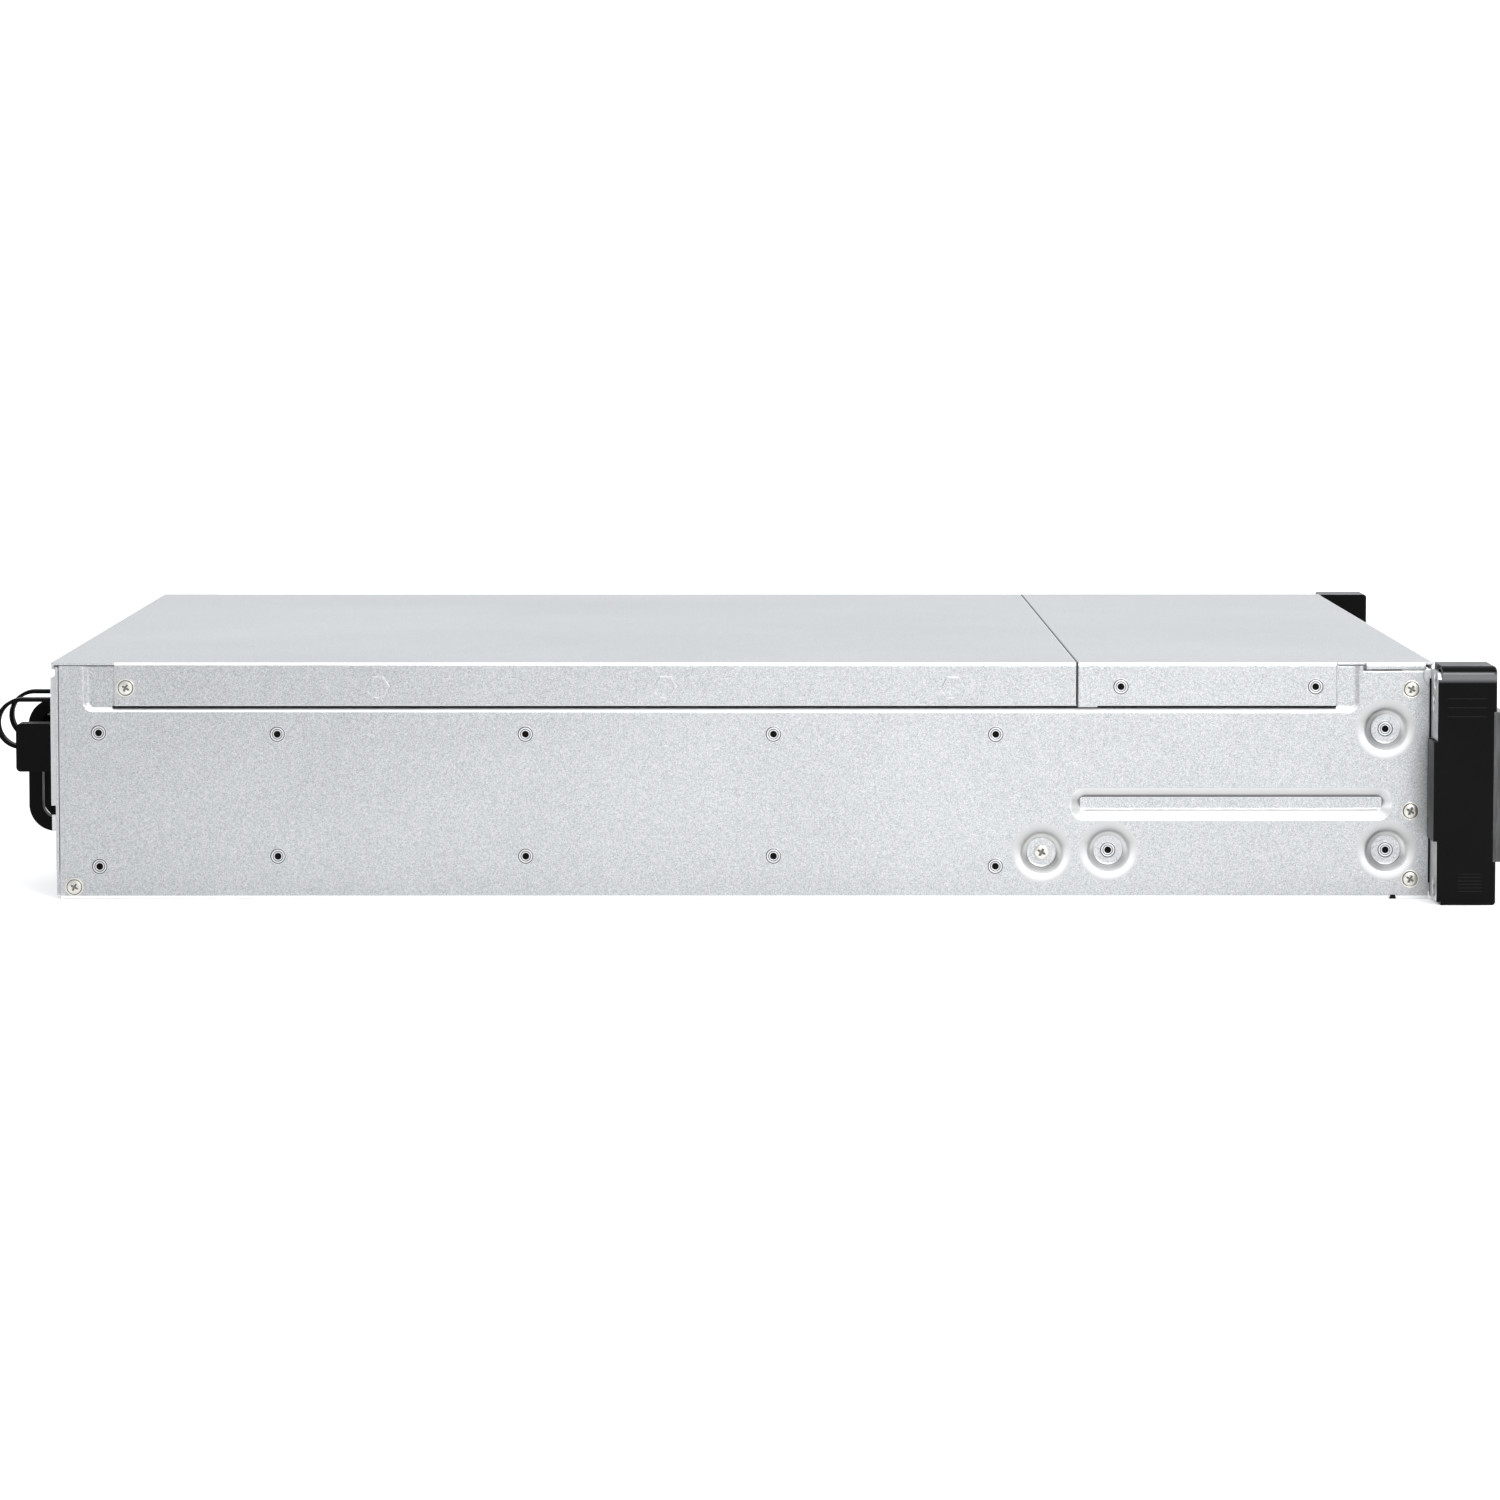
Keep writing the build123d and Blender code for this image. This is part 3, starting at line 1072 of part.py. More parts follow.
def main():
    os.makedirs("parts", exist_ok=True)
    save(make_chassis_base(), "chassis_base")
    save(make_rear_panel(), "rear_panel")
    save(make_front_cover(), "front_top_cover")
    save(make_rear_cover(), "rear_top_cover")
    save(make_cover_pins(), "cover_pins")
    bracket = make_ear_bracket()
    save(group([bracket, mirror(bracket, about=Plane.YZ)]), "ear_brackets")
    save(make_ear_cover(True), "left_ear_cover")
    save(mirror(make_ear_cover(False), about=Plane.YZ), "right_ear_cover")
    save(group([make_ear_trim(True), mirror(make_ear_trim(False), about=Plane.YZ)]), "ear_trims")
    save(make_power_button(), "power_button")
    save(make_drive_cage(), "drive_cage")
    save(make_backplane(), "backplane")
    save(make_fan_wall(), "fan_bracket")
    save(group([make_fan_frame(x) for x in FAN_XS]), "fan_frames")
    for index, x in enumerate(FAN_XS):
        save(make_fan_rotor(x), "fan_rotor_" + str(index + 1))
    save(make_motherboard(), "motherboard")
    save(make_heatsink(), "cpu_heatsink")
    save(make_memory(), "memory_modules")
    save(make_rear_ports(), "rear_ports")
    save(make_slot_cover(), "expansion_slot_cover")
    save(make_psu_cage(), "psu_cage")
    save(make_power_board(), "power_board")
    save(make_clinch_hardware(), "clinch_hardware")
    save(make_screws(), "chassis_screws")
    for index in range(PSU_COUNT):
        prefix = "psu_" + str(index + 1) + "_"
        save(make_psu_case(index), prefix + "case")
        save(make_psu_handle(index), prefix + "handle")
        save(make_psu_latch(index), prefix + "latch")
        save(make_psu_inlet(index), prefix + "inlet")
        save(make_cord_retainer(index), prefix + "cord_retainer")
    tray_pieces = [make_tray_carrier(), make_drive()]
    lever = make_lever()
    for row, floor in enumerate(ROW_FLOORS):
        for column, x in enumerate(COLUMN_XS):
            number = "{:02d}".format(row * COLUMNS + column + 1)
            place = Pos(x, 0, floor)
            save(group([place * piece for piece in tray_pieces]), "tray_" + number)
            save(place * lever, "lever_" + number)


main()
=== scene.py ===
# %% [markdown]
# # A rack-mount storage unit, dressed in Blender
# The shapes of the folded sheet, the ears, the trays and the supplies come from the packed
# model, which is loaded as a fixed frame. This lesson gives them their finishes and adds the
# fine pieces that sit on them: flush nuts, black strips of painted shade in the gaps, screws,
# lamps, parts of the main board.

import bmesh
import bpy
import numpy as np
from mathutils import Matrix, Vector


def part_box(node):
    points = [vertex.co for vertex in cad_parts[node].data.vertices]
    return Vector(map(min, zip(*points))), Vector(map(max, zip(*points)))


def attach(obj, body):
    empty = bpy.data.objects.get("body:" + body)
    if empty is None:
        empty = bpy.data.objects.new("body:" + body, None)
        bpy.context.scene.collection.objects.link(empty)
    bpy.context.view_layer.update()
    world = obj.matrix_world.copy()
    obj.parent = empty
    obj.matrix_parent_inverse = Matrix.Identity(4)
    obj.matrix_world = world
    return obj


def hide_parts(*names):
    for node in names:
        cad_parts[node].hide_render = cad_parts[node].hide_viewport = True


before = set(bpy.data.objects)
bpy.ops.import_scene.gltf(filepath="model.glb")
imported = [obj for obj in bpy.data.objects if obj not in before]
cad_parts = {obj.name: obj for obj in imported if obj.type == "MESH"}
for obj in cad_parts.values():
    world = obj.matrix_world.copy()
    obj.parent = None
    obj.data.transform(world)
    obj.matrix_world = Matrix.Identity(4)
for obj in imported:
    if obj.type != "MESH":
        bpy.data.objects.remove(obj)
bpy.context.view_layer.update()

# %% [markdown]

# %% [markdown]
# The photograph looks straight at the left side from about 2.2 m away and a little above.
# A long lens keeps the far edge of the cover nearly as wide as the near one, so the distance
# matters more than the angle: it was worked out from the corners of the two covers.

# %% Camera
CAMERA_PLACE = Vector((-2.4147, 0.0025, 0.2399))
CAMERA_PITCH = -0.0838  # radians, down from level
CAMERA_YAW = -0.0021  # radians, from +x towards +y
LENS = 142.7  # millimetres, for a picture 36 mm wide
camera_data = bpy.data.cameras.new("photo_camera")
camera_data.lens = LENS
camera_data.sensor_width = 36.0
camera_data.clip_end = 50.0
camera = bpy.data.objects.new("photo_camera", camera_data)
bpy.context.scene.collection.objects.link(camera)
direction = Vector((
    np.cos(CAMERA_PITCH) * np.cos(CAMERA_YAW),
    np.cos(CAMERA_PITCH) * np.sin(CAMERA_YAW),
    np.sin(CAMERA_PITCH),
))
camera.location = CAMERA_PLACE
camera.rotation_euler = direction.to_track_quat("-Z", "Y").to_euler()
bpy.context.scene.camera = camera
print("camera", tuple(round(value, 3) for value in camera.location), "lens", LENS)

# %% [markdown]
# A product like this is lit by large soft boxes in a white room. Most of what bare steel shows
# is the room in its surface, so the world is nearly white, and brighter towards the lit
# backdrop behind the front end. The lamps only shape it: a high sun and a wide ceiling of
# light whiten the floor and every slope facing up, a box with a honeycomb grid lifts the
# panel but for its rear end, and a box beyond the unit runs a sheen along the top.
# Product pictures keep pure white and deep black, which a film-like tone curve would mute, so
# the picture is shown with the Standard view. The camera itself sees a brighter backdrop.

# %% Room and lamps
bpy.context.scene.view_settings.view_transform = "Standard"
ROOM_DIM = 0.80
ROOM_BRIGHT = 1.18
BRIGHT_SIDE = (0.8, -0.6, 0.0)
BACKDROP = 1.3
world = bpy.data.worlds.new("white_room")
world.use_nodes = True
room = world.node_tree
background = room.nodes["Background"]
background.inputs["Color"].default_value = (0.96, 0.98, 1.0, 1.0)
seen = room.nodes.new("ShaderNodeLightPath").outputs["Is Camera Ray"]
towards = room.nodes.new("ShaderNodeVectorMath")
towards.operation = "DOT_PRODUCT"
room.links.new(room.nodes.new("ShaderNodeTexCoord").outputs["Generated"], towards.inputs[0])
towards.inputs[1].default_value = BRIGHT_SIDE
# The strength follows the cosine between a direction and the bright side.
side = room.nodes.new("ShaderNodeMapRange")
side.inputs["From Min"].default_value = -0.3
side.inputs["From Max"].default_value = 0.9
side.inputs["To Min"].default_value = ROOM_DIM
side.inputs["To Max"].default_value = ROOM_BRIGHT
room.links.new(towards.outputs["Value"], side.inputs["Value"])
level = room.nodes.new("ShaderNodeMapRange")
level.inputs["To Max"].default_value = BACKDROP
room.links.new(seen, level.inputs["Value"])
room.links.new(side.outputs["Result"], level.inputs["To Min"])
room.links.new(level.outputs["Result"], background.inputs["Strength"])
bpy.context.scene.world = world


def soft_box(name, place, target, width, height, power):
    """Rectangular lamp at a place, turned so that it faces a target."""
    lamp = bpy.data.lights.new(name, "AREA")
    lamp.shape = "RECTANGLE"
    lamp.size = width
    lamp.size_y = height
    lamp.energy = power
    made = bpy.data.objects.new(name, lamp)
    made.location = place
    made.rotation_euler = (Vector(target) - Vector(place)).to_track_quat("-Z", "Y").to_euler()
    bpy.context.scene.collection.objects.link(made)
    return made


# Name, place, target, width and height in metres, power in watts.
soft_box("ceiling_box", (-0.2, 0.0, 1.35), (-0.2, 0, 0), 2.2, 2.0, 4.0)
soft_box("front_box", (-1.3, -0.80, 0.55), (-0.2, -0.2, 0.05), 0.9, 0.8, 0.4)
gridded = soft_box("grid_box", (-1.3, -0.4, 0.6), (-0.22, -0.04, 0.05), 0.5, 0.5, 0.80)
gridded.data.spread = 0.75
soft_box("beyond_box", (1.3, -1.3, 0.6), (0, -0.2, 0.08), 0.8, 0.8, 7.0)
soft_box("rear_box", (1.4, 1.5, 1.2), (0, 0, 0.05), 1.4, 1.2, 3.0)
sun = bpy.data.lights.new("high_sun", "SUN")
sun.energy = 0.60
sun.angle = 1.2
bpy.context.scene.collection.objects.link(bpy.data.objects.new("high_sun", sun))

# %% [markdown]
# Every material below is a tree of nodes. One helper makes a node and joins it up: a value
# that is another node's socket is linked, and anything else is set on the socket itself.

# %% Node helpers
def node(tree, kind, inputs=None, **settings):
    """New node of a tree with its settings, linked or constant inputs by name or number."""
    made = tree.nodes.new(kind)
    for key, value in settings.items():
        setattr(made, key, value)
    for key, value in (inputs or {}).items():
        if isinstance(value, bpy.types.NodeSocket):
            tree.links.new(value, made.inputs[key])
        else:
            made.inputs[key].default_value = value
    return made


def maths(tree, operation, first, second=0.0, clamp=False):
    """Output of a Math node of two values."""
    inputs = {0: first, 1: second}
    return node(tree, "ShaderNodeMath", inputs, operation=operation, use_clamp=clamp).outputs[0]


def product(tree, *factors):
    """Product of two or more values."""
    total = factors[0]
    for factor in factors[1:]:
        total = maths(tree, "MULTIPLY", total, factor)
    return total


def length_of(tree, across, up):
    """Distance of a point at two offsets."""
    squares = maths(tree, "ADD", product(tree, across, across), product(tree, up, up))
    return maths(tree, "SQRT", squares)


def beyond(tree, value, limit):
    """1 where a value is more than a limit above or below 0, else 0."""
    return maths(tree, "GREATER_THAN", maths(tree, "ABSOLUTE", value), limit)


def noise(tree, vector, scale, detail=2.0, roughness=0.5):
    """Output of a noise of the given scale, in cycles per metre of the vector."""
    inputs = {"Vector": vector, "Scale": scale, "Detail": detail, "Roughness": roughness}
    return node(tree, "ShaderNodeTexNoise", inputs).outputs["Fac"]


def spread(tree, value, low, high, new_low, new_high):
    """The value's range from low to high, stretched over a new range and held there."""
    inputs = {"Value": value, "From Min": low, "From Max": high, "To Min": new_low, "To Max": new_high}
    return node(tree, "ShaderNodeMapRange", inputs).outputs["Result"]


def blend_colours(tree, factor, first, second):
    """First colour where the factor is 0, and second where it is 1."""
    made = node(tree, "ShaderNodeMix", data_type="RGBA")
    for index, value in ((0, factor), (6, first), (7, second)):
        if isinstance(value, bpy.types.NodeSocket):
            tree.links.new(value, made.inputs[index])
        else:
            made.inputs[index].default_value = value
    return made.outputs[2]


def object_axes(tree):
    """The x, y and z of a point in its object's frame, in metres."""
    place = tree.nodes.new("ShaderNodeTexCoord").outputs["Object"]
    return node(tree, "ShaderNodeSeparateXYZ", {0: place}).outputs


def effect(name, inputs, outputs):
    """Empty node group with named number inputs, and its outputs as (name, kind)."""
    tree = bpy.data.node_groups.new(name, "ShaderNodeTree")
    for label, value in inputs:
        socket = tree.interface.new_socket(label, in_out="INPUT", socket_type="NodeSocketFloat")
        socket.default_value = value
    for label, kind in outputs:
        tree.interface.new_socket(label, in_out="OUTPUT", socket_type="NodeSocket" + kind)
    entry = tree.nodes.new("NodeGroupInput")
    leave = tree.nodes.new("NodeGroupOutput")
    place = tree.nodes.new("ShaderNodeTexCoord").outputs["Object"]
    return tree, entry.outputs, leave.inputs, place


print("node helpers ready")

# %% [markdown]
# Folded sheet has no knife edges. A Bevel node rounds the normal near each edge without
# touching the mesh, and the amount by which it turns the normal also marks where handling rubs
# a coating thin. Real bevels on thousands of small edges would cost far more triangles.

# %% Effect: soft edges
tree, given, result, place = effect(
    "soft_edges", [("Radius", 0.0005)], [("Normal", "Vector"), ("Wear", "Float")]
)
rounded = node(tree, "ShaderNodeBevel", {"Radius": given["Radius"]}, samples=6).outputs["Normal"]
flat = tree.nodes.new("ShaderNodeNewGeometry").outputs["True Normal"]
turn = node(tree, "ShaderNodeVectorMath", {0: rounded, 1: flat}, operation="DOT_PRODUCT").outputs["Value"]
tree.links.new(rounded, result["Normal"])
tree.links.new(spread(tree, turn, 0.995, 0.82, 0.0, 1.0), result["Wear"])
print("soft_edges:", len(tree.nodes), "nodes")

# %% [markdown]
# Zinc coats steel as a skin of small crystals. Here they are fine, so the sheet
# looks evenly speckled: cells of a third of a millimetre shift the tone a little, a finer
# noise breaks them up, and broad soft clouds stop the panel from being one flat grey. A
# further mask marks faces of an upright sheet that lean up or down, such as the slopes of the
# bead, the dimples and the recess, for a painted highlight where they would catch the light.

# %% Effect: zinc crystals
tree, given, result, place = effect(
    "zinc_crystals",
    [("Grain", 3000.0), ("Cloud", 9.0)],
    [("Tone", "Float"), ("Rough", "Float"), ("Height", "Float"), ("Slope highlight", "Float")],
)
cells = node(tree, "ShaderNodeTexVoronoi", {"Vector": place, "Scale": given["Grain"]}).outputs["Color"]
cell = node(tree, "ShaderNodeSeparateColor", {"Color": cells}).outputs[0]
fine = noise(tree, place, product(tree, given["Grain"], 1.7), 3.0)
cloud = noise(tree, place, given["Cloud"], 3.0, 0.55)
speck = maths(tree, "ADD", product(tree, cell, 0.35), product(tree, fine, 0.65))
tone = maths(tree, "ADD", product(tree, speck, 0.86), product(tree, cloud, 0.14))
tree.links.new(tone, result["Tone"])
tree.links.new(spread(tree, speck, 0.2, 0.8, 0.0, 1.0), result["Rough"])
tree.links.new(speck, result["Height"])
facing = tree.nodes.new("ShaderNodeNewGeometry").outputs["True Normal"]
facing = node(tree, "ShaderNodeSeparateXYZ", {0: facing}).outputs
# mask of slopes that lean up or down, for a painted highlight
lean = spread(tree, maths(tree, "ABSOLUTE", facing[2]), 0.08, 0.35, 0.0, 1.0)
tree.links.new(product(tree, lean, beyond(tree, facing[0], 0.3)), result["Slope highlight"])
print("zinc_crystals:", len(tree.nodes), "nodes")

# %% [markdown]
# Moulded plastic copies the spark-eroded wall of its mould: a fine even pebble. Two noises of
# different size make it, and a slow one varies the gloss as fingers and packing do.

# %% Effect: moulded grain
tree, given, result, place = effect(
    "moulded_grain", [("Grain", 2600.0)], [("Height", "Float"), ("Gloss", "Float")]
)
pebble = noise(tree, place, given["Grain"], 2.0, 0.6)
coarse = noise(tree, place, product(tree, given["Grain"], 0.35), 1.0)
height = maths(tree, "ADD", product(tree, pebble, 0.7), product(tree, coarse, 0.3))
tree.links.new(height, result["Height"])
tree.links.new(noise(tree, place, 35.0, 3.0, 0.6), result["Gloss"])
print("moulded_grain:", len(tree.nodes), "nodes")

# %% [markdown]
# Rolled, drawn and brushed metal has lines that all run one way. A noise squeezed along one
# axis draws them: the three inputs say how many lines there are to the metre along x, y, z.

# %% Effect: drawn lines
tree, given, result, place = effect(
    "drawn_lines",
    [("X lines", 3000.0), ("Y lines", 3000.0), ("Z lines", 25.0)],
    [("Tone", "Float"), ("Height", "Float")],
)
counts = {0: given["X lines"], 1: given["Y lines"], 2: given["Z lines"]}
stretch = node(tree, "ShaderNodeCombineXYZ", counts).outputs[0]
squeezed = node(tree, "ShaderNodeVectorMath", {0: place, 1: stretch}, operation="MULTIPLY").outputs[0]
lines = noise(tree, squeezed, 1.0, 4.0, 0.6)
tree.links.new(lines, result["Tone"])
tree.links.new(lines, result["Height"])
print("drawn_lines:", len(tree.nodes), "nodes")

# %% [markdown]
# Three kinds of finish cover the whole unit: zinc-coated sheet, moulded plastic and drawn
# metal. Each builder below places the shared effects round one Principled shader. The colours
# are linear values read against the photograph's greys, not its pixels.

# %% Finish builders
finishes = {}


def add_effect(tree, name, **values):
    """Places a shared effect in a material and sets its inputs."""
    made = node(tree, "ShaderNodeGroup", node_tree=bpy.data.node_groups[name])
    for label, value in values.items():
        made.inputs[label.replace("_", " ")].default_value = value
    return made.outputs


def new_finish(name, metallic, **constants):
    """Material with its Principled shader, whose constants stand on the shader's own sockets."""
    material = bpy.data.materials.new(name)
    material.use_nodes = True
    tree = material.node_tree
    shader = tree.nodes["Principled BSDF"]
    shader.inputs["Metallic"].default_value = metallic
    for label, value in constants.items():
        shader.inputs[label.replace("_", " ")].default_value = value
    finishes[name] = material
    return tree, shader


def bump(tree, height, strength, distance, normal):
    """Normal of a Bump node on top of another normal."""
    inputs = {"Height": height, "Strength": strength, "Distance": distance, "Normal": normal}
    return node(tree, "ShaderNodeBump", inputs).outputs["Normal"]


def grey(value, blue=0.0):
    """Opaque grey, a little cooler where blue is above 0."""
    return (value * (1.0 - blue), value, value * (1.0 + blue), 1.0)


def scaled(colour, factor):
    """Opaque colour made darker or lighter by a factor."""
    return tuple(min(1.0, part * factor) for part in colour[:3]) + (1.0,)


def source(shader, label):
    """Output that a shader's input is linked to so far."""
    return shader.inputs[label].links[0].from_socket


def zinc_finish(name, dark, light, rough, grain=3000.0, edge=0.0006):
    """Zinc-coated sheet between two tones, with a painted highlight on pressed slopes, and paler along worn
    edges.
    """
    tree, shader = new_finish(name, 0.9)
    edges = add_effect(tree, "soft_edges", Radius=edge)
    zinc = add_effect(tree, "zinc_crystals", Grain=grain)
    tone = spread(tree, zinc["Tone"], 0.3, 0.7, 0.0, 1.0)
    colour = blend_colours(tree, tone, dark, light)
    colour = blend_colours(tree, edges["Wear"], colour, scaled(light, 1.12))
    # painted highlight: slopes that lean up or down turn near white, as the light above and the floor would
    # make them
    slope_highlight = product(tree, zinc["Slope highlight"], 0.85)
    colour = blend_colours(tree, slope_highlight, colour, grey(0.94, 0.005))
    roughness = spread(tree, zinc["Rough"], 0.0, 1.0, rough - 0.05, rough + 0.05)
    normal = bump(tree, zinc["Height"], 0.12, 0.0002, edges["Normal"])
    tree.links.new(colour, shader.inputs["Base Color"])
    tree.links.new(roughness, shader.inputs["Roughness"])
    tree.links.new(normal, shader.inputs["Normal"])
    return tree, shader


def plastic_finish(name, colour, rough, relief=0.25, shine=0.5):
    """Moulded plastic with a pebbled skin, polished a little and paler along its edges."""
    tree, shader = new_finish(name, 0.0, Specular_IOR_Level=shine)
    edges = add_effect(tree, "soft_edges", Radius=0.0005)
    skin = add_effect(tree, "moulded_grain", Grain=2600.0)
    worn = product(tree, edges["Wear"], 0.6)
    patches = spread(tree, skin["Gloss"], 0.35, 0.65, 0.0, 1.0)
    mottled = blend_colours(tree, patches, colour, scaled(colour, 1.15))
    tree.links.new(blend_colours(tree, worn, mottled, scaled(colour, 1.6)), shader.inputs["Base Color"])
    dull = spread(tree, skin["Gloss"], 0.3, 0.7, rough - 0.05, rough + 0.06)
    roughness = maths(tree, "SUBTRACT", dull, product(tree, worn, 0.12))
    tree.links.new(roughness, shader.inputs["Roughness"])
    normal = bump(tree, skin["Height"], relief, 0.0001, edges["Normal"])
    tree.links.new(normal, shader.inputs["Normal"])
    return tree, shader


def drawn_finish(name, dark, light, rough, lines=(3000.0, 3000.0, 25.0)):
    """Bare metal with the fine lines of rolling, drawing or brushing, so many a metre by axis."""
    tree, shader = new_finish(name, 1.0)
    edges = add_effect(tree, "soft_edges", Radius=0.0003)
    marks = add_effect(tree, "drawn_lines", X_lines=lines[0], Y_lines=lines[1], Z_lines=lines[2])
    tone = spread(tree, marks["Tone"], 0.3, 0.7, 0.0, 1.0)
    colour = blend_colours(tree, tone, dark, light)
    colour = blend_colours(tree, edges["Wear"], colour, scaled(light, 1.15))
    tree.links.new(colour, shader.inputs["Base Color"])
    tree.links.new(spread(tree, tone, 0.0, 1.0, rough + 0.05, rough - 0.05), shader.inputs["Roughness"])
    normal = bump(tree, marks["Height"], 0.15, 0.0001, edges["Normal"])
    tree.links.new(normal, shader.inputs["Normal"])
    return tree, shader


print("finish builders ready")

# %% [markdown]
# The chassis and both covers are the same zinc-coated steel; the cage and brackets are a
# slightly duller sheet. Ears, handles and trays are black moulded plastic, and the trims, the
# heatsink and the sockets are drawn or brushed metal.

# %% Finishes of the sheet, the mouldings and the hardware
COVER_ZINC = {"dark": grey(0.30, 0.02), "light": grey(0.60, 0.015), "rough": 0.38, "edge": 0.0010}
zinc_finish("zinc_sheet", **COVER_ZINC)
zinc_finish("cage_sheet", grey(0.46, 0.01), grey(0.58, 0.01), 0.42, grain=1100.0)
zinc_finish("bracket_steel", grey(0.50, 0.015), grey(0.62, 0.01), 0.38)
zinc_finish("psu_steel", grey(0.50, 0.01), grey(0.60, 0.01), 0.34, grain=2200.0)
plastic_finish("lever_plastic", grey(0.012), 0.36, shine=0.25)
plastic_finish("handle_plastic", grey(0.002), 0.36, shine=0.06)
plastic_finish("fan_plastic", grey(0.009), 0.40, shine=0.25)
plastic_finish("button_plastic", grey(0.30), 0.34)
plastic_finish("clip_plastic", grey(0.002), 0.42, relief=0.3, shine=0.05)
# black for the strips of painted shade in the gaps between the sheets
plastic_finish("gap_shade_black", grey(0.004), 0.7, relief=0.5, shine=0.1)
drawn_finish("trim_metal", grey(0.05), grey(0.12), 0.26, lines=(900.0, 900.0, 60.0))
drawn_finish("sink_aluminium", grey(0.60), grey(0.75), 0.34)
drawn_finish("port_metal", grey(0.56), grey(0.70), 0.24, lines=(25.0, 3000.0, 3000.0))
drawn_finish("latch_steel", grey(0.50), grey(0.64), 0.30, lines=(3000.0, 25.0, 3000.0))
drawn_finish("nut_steel", (0.60, 0.60, 0.59, 1.0), (0.74, 0.74, 0.73, 1.0), 0.30)
drawn_finish("gold_contacts", (0.62, 0.44, 0.16, 1.0), (0.78, 0.58, 0.24, 1.0), 0.24)
print(len(finishes), "finishes:", ", ".join(sorted(finishes)))

# %% [markdown]
# Nuts and screws are small, so their dark bores and cross recesses carry the whole drawing.
# Their meshes bring an attribute, shade, that nears 1 where thread or depth keeps light out,
# and the plating mixes towards black by it. Nickel is warmer than the zinc around it.

# %% Finishes: plated hardware with shaded recesses
PAINTED_SHADE_BLACK = (0.010, 0.009, 0.008, 1.0)


def plated_finish(name, plating, rough):
    """Bright plating that turns dark and dull where the mesh's shade attribute says so."""
    tree, shader = drawn_finish(name, scaled(plating, 0.84), plating, rough)
    shade = node(tree, "ShaderNodeAttribute", attribute_name="shade").outputs["Fac"]
    # painted shade: the plating goes towards black as the shade attribute nears 1
    shaded = blend_colours(tree, shade, source(shader, "Base Color"), PAINTED_SHADE_BLACK)
    tree.links.new(shaded, shader.inputs["Base Color"])
    dull = maths(tree, "ADD", source(shader, "Roughness"), product(tree, shade, 0.4), True)
    tree.links.new(dull, shader.inputs["Roughness"])


plated_finish("nut_plating", (0.60, 0.61, 0.62, 1.0), 0.36)
plated_finish("screw_nickel", (0.68, 0.66, 0.61, 1.0), 0.32)
print("plated hardware ready")

# %% [markdown]
# The ears' black mouldings have two groups of shallow grip lines on their outer sides, and a
# soft grey band near their top edge: a painted highlight where the rounding would catch the
# light above, with a clear coat there that reflects the lamps as well. Lines and band are both
# masks worked out from the place on the moulding, in metres.

# %% Finish: ear mouldings
GRIP_HEIGHT = 0.00025
GRIP_FLANK = 0.2411  # further out than this lie only the mouldings' outer sides
SHEEN_FLANK = 0.2404  # the outer sides and their rounded edges
SHEEN_HEIGHTS = (0.0818, 0.0834, 0.0846, 0.0862)  # z where it starts, is full, still is full, and ends


def between(tree, value, low, high):
    """1 where the value lies between two limits, else 0."""
    above = maths(tree, "GREATER_THAN", value, low)
    return product(tree, above, maths(tree, "LESS_THAN", value, high))


def grip_lines(tree, axes, low, high, pitch, front, rear):
    """Lines a pitch apart in z from low to high, between two depths, on the outer sides."""
    steps = maths(tree, "DIVIDE", maths(tree, "SUBTRACT", axes[2], low), pitch)
    line = maths(tree, "LESS_THAN", maths(tree, "FRACT", steps), GRIP_HEIGHT / pitch)
    rows = between(tree, axes[2], low - 0.0001, high)
    depth = between(tree, axes[1], front, rear)
    return product(tree, line, rows, depth, beyond(tree, axes[0], GRIP_FLANK))


tree, shader = plastic_finish("ear_plastic", grey(0.0025), 0.30, relief=0.10, shine=0.06)
axes = object_axes(tree)
upper = grip_lines(tree, axes, low=0.0694, high=0.0763, pitch=0.0033, front=-0.2721, rear=-0.2578)
lower = grip_lines(tree, axes, low=0.0050, high=0.0116, pitch=0.00128, front=-0.2710, rear=-0.2622)
lines = maths(tree, "MAXIMUM", upper, lower)
relief = bump(tree, lines, 0.6, 0.0001, source(shader, "Normal"))
tree.links.new(relief, shader.inputs["Normal"])
# painted highlight: a grey band with a clear coat just below the top rounding, on the outer sides only
above = spread(tree, axes[2], SHEEN_HEIGHTS[0], SHEEN_HEIGHTS[1], 0.0, 1.0)
below = spread(tree, axes[2], SHEEN_HEIGHTS[2], SHEEN_HEIGHTS[3], 1.0, 0.0)
painted_sheen = product(tree, above, below, beyond(tree, axes[0], SHEEN_FLANK))
colour = blend_colours(tree, lines, source(shader, "Base Color"), grey(0.014))
colour = blend_colours(tree, painted_sheen, colour, grey(0.11, 0.02))
tree.links.new(colour, shader.inputs["Base Color"])
tree.links.new(painted_sheen, shader.inputs["Coat Weight"])
shader.inputs["Coat Roughness"].default_value = 0.18
print("ear_plastic:", len(tree.nodes), "nodes")

# %% [markdown]
# Four faint flush rings show on the fixed front cover, as spot joints to the cage's walls would
# leave them. Each is drawn by the distance from the nearest joint. The cover's rear hem is
# turned down into the gap, and its last half millimetre is painted nearly black, as the shade
# there.

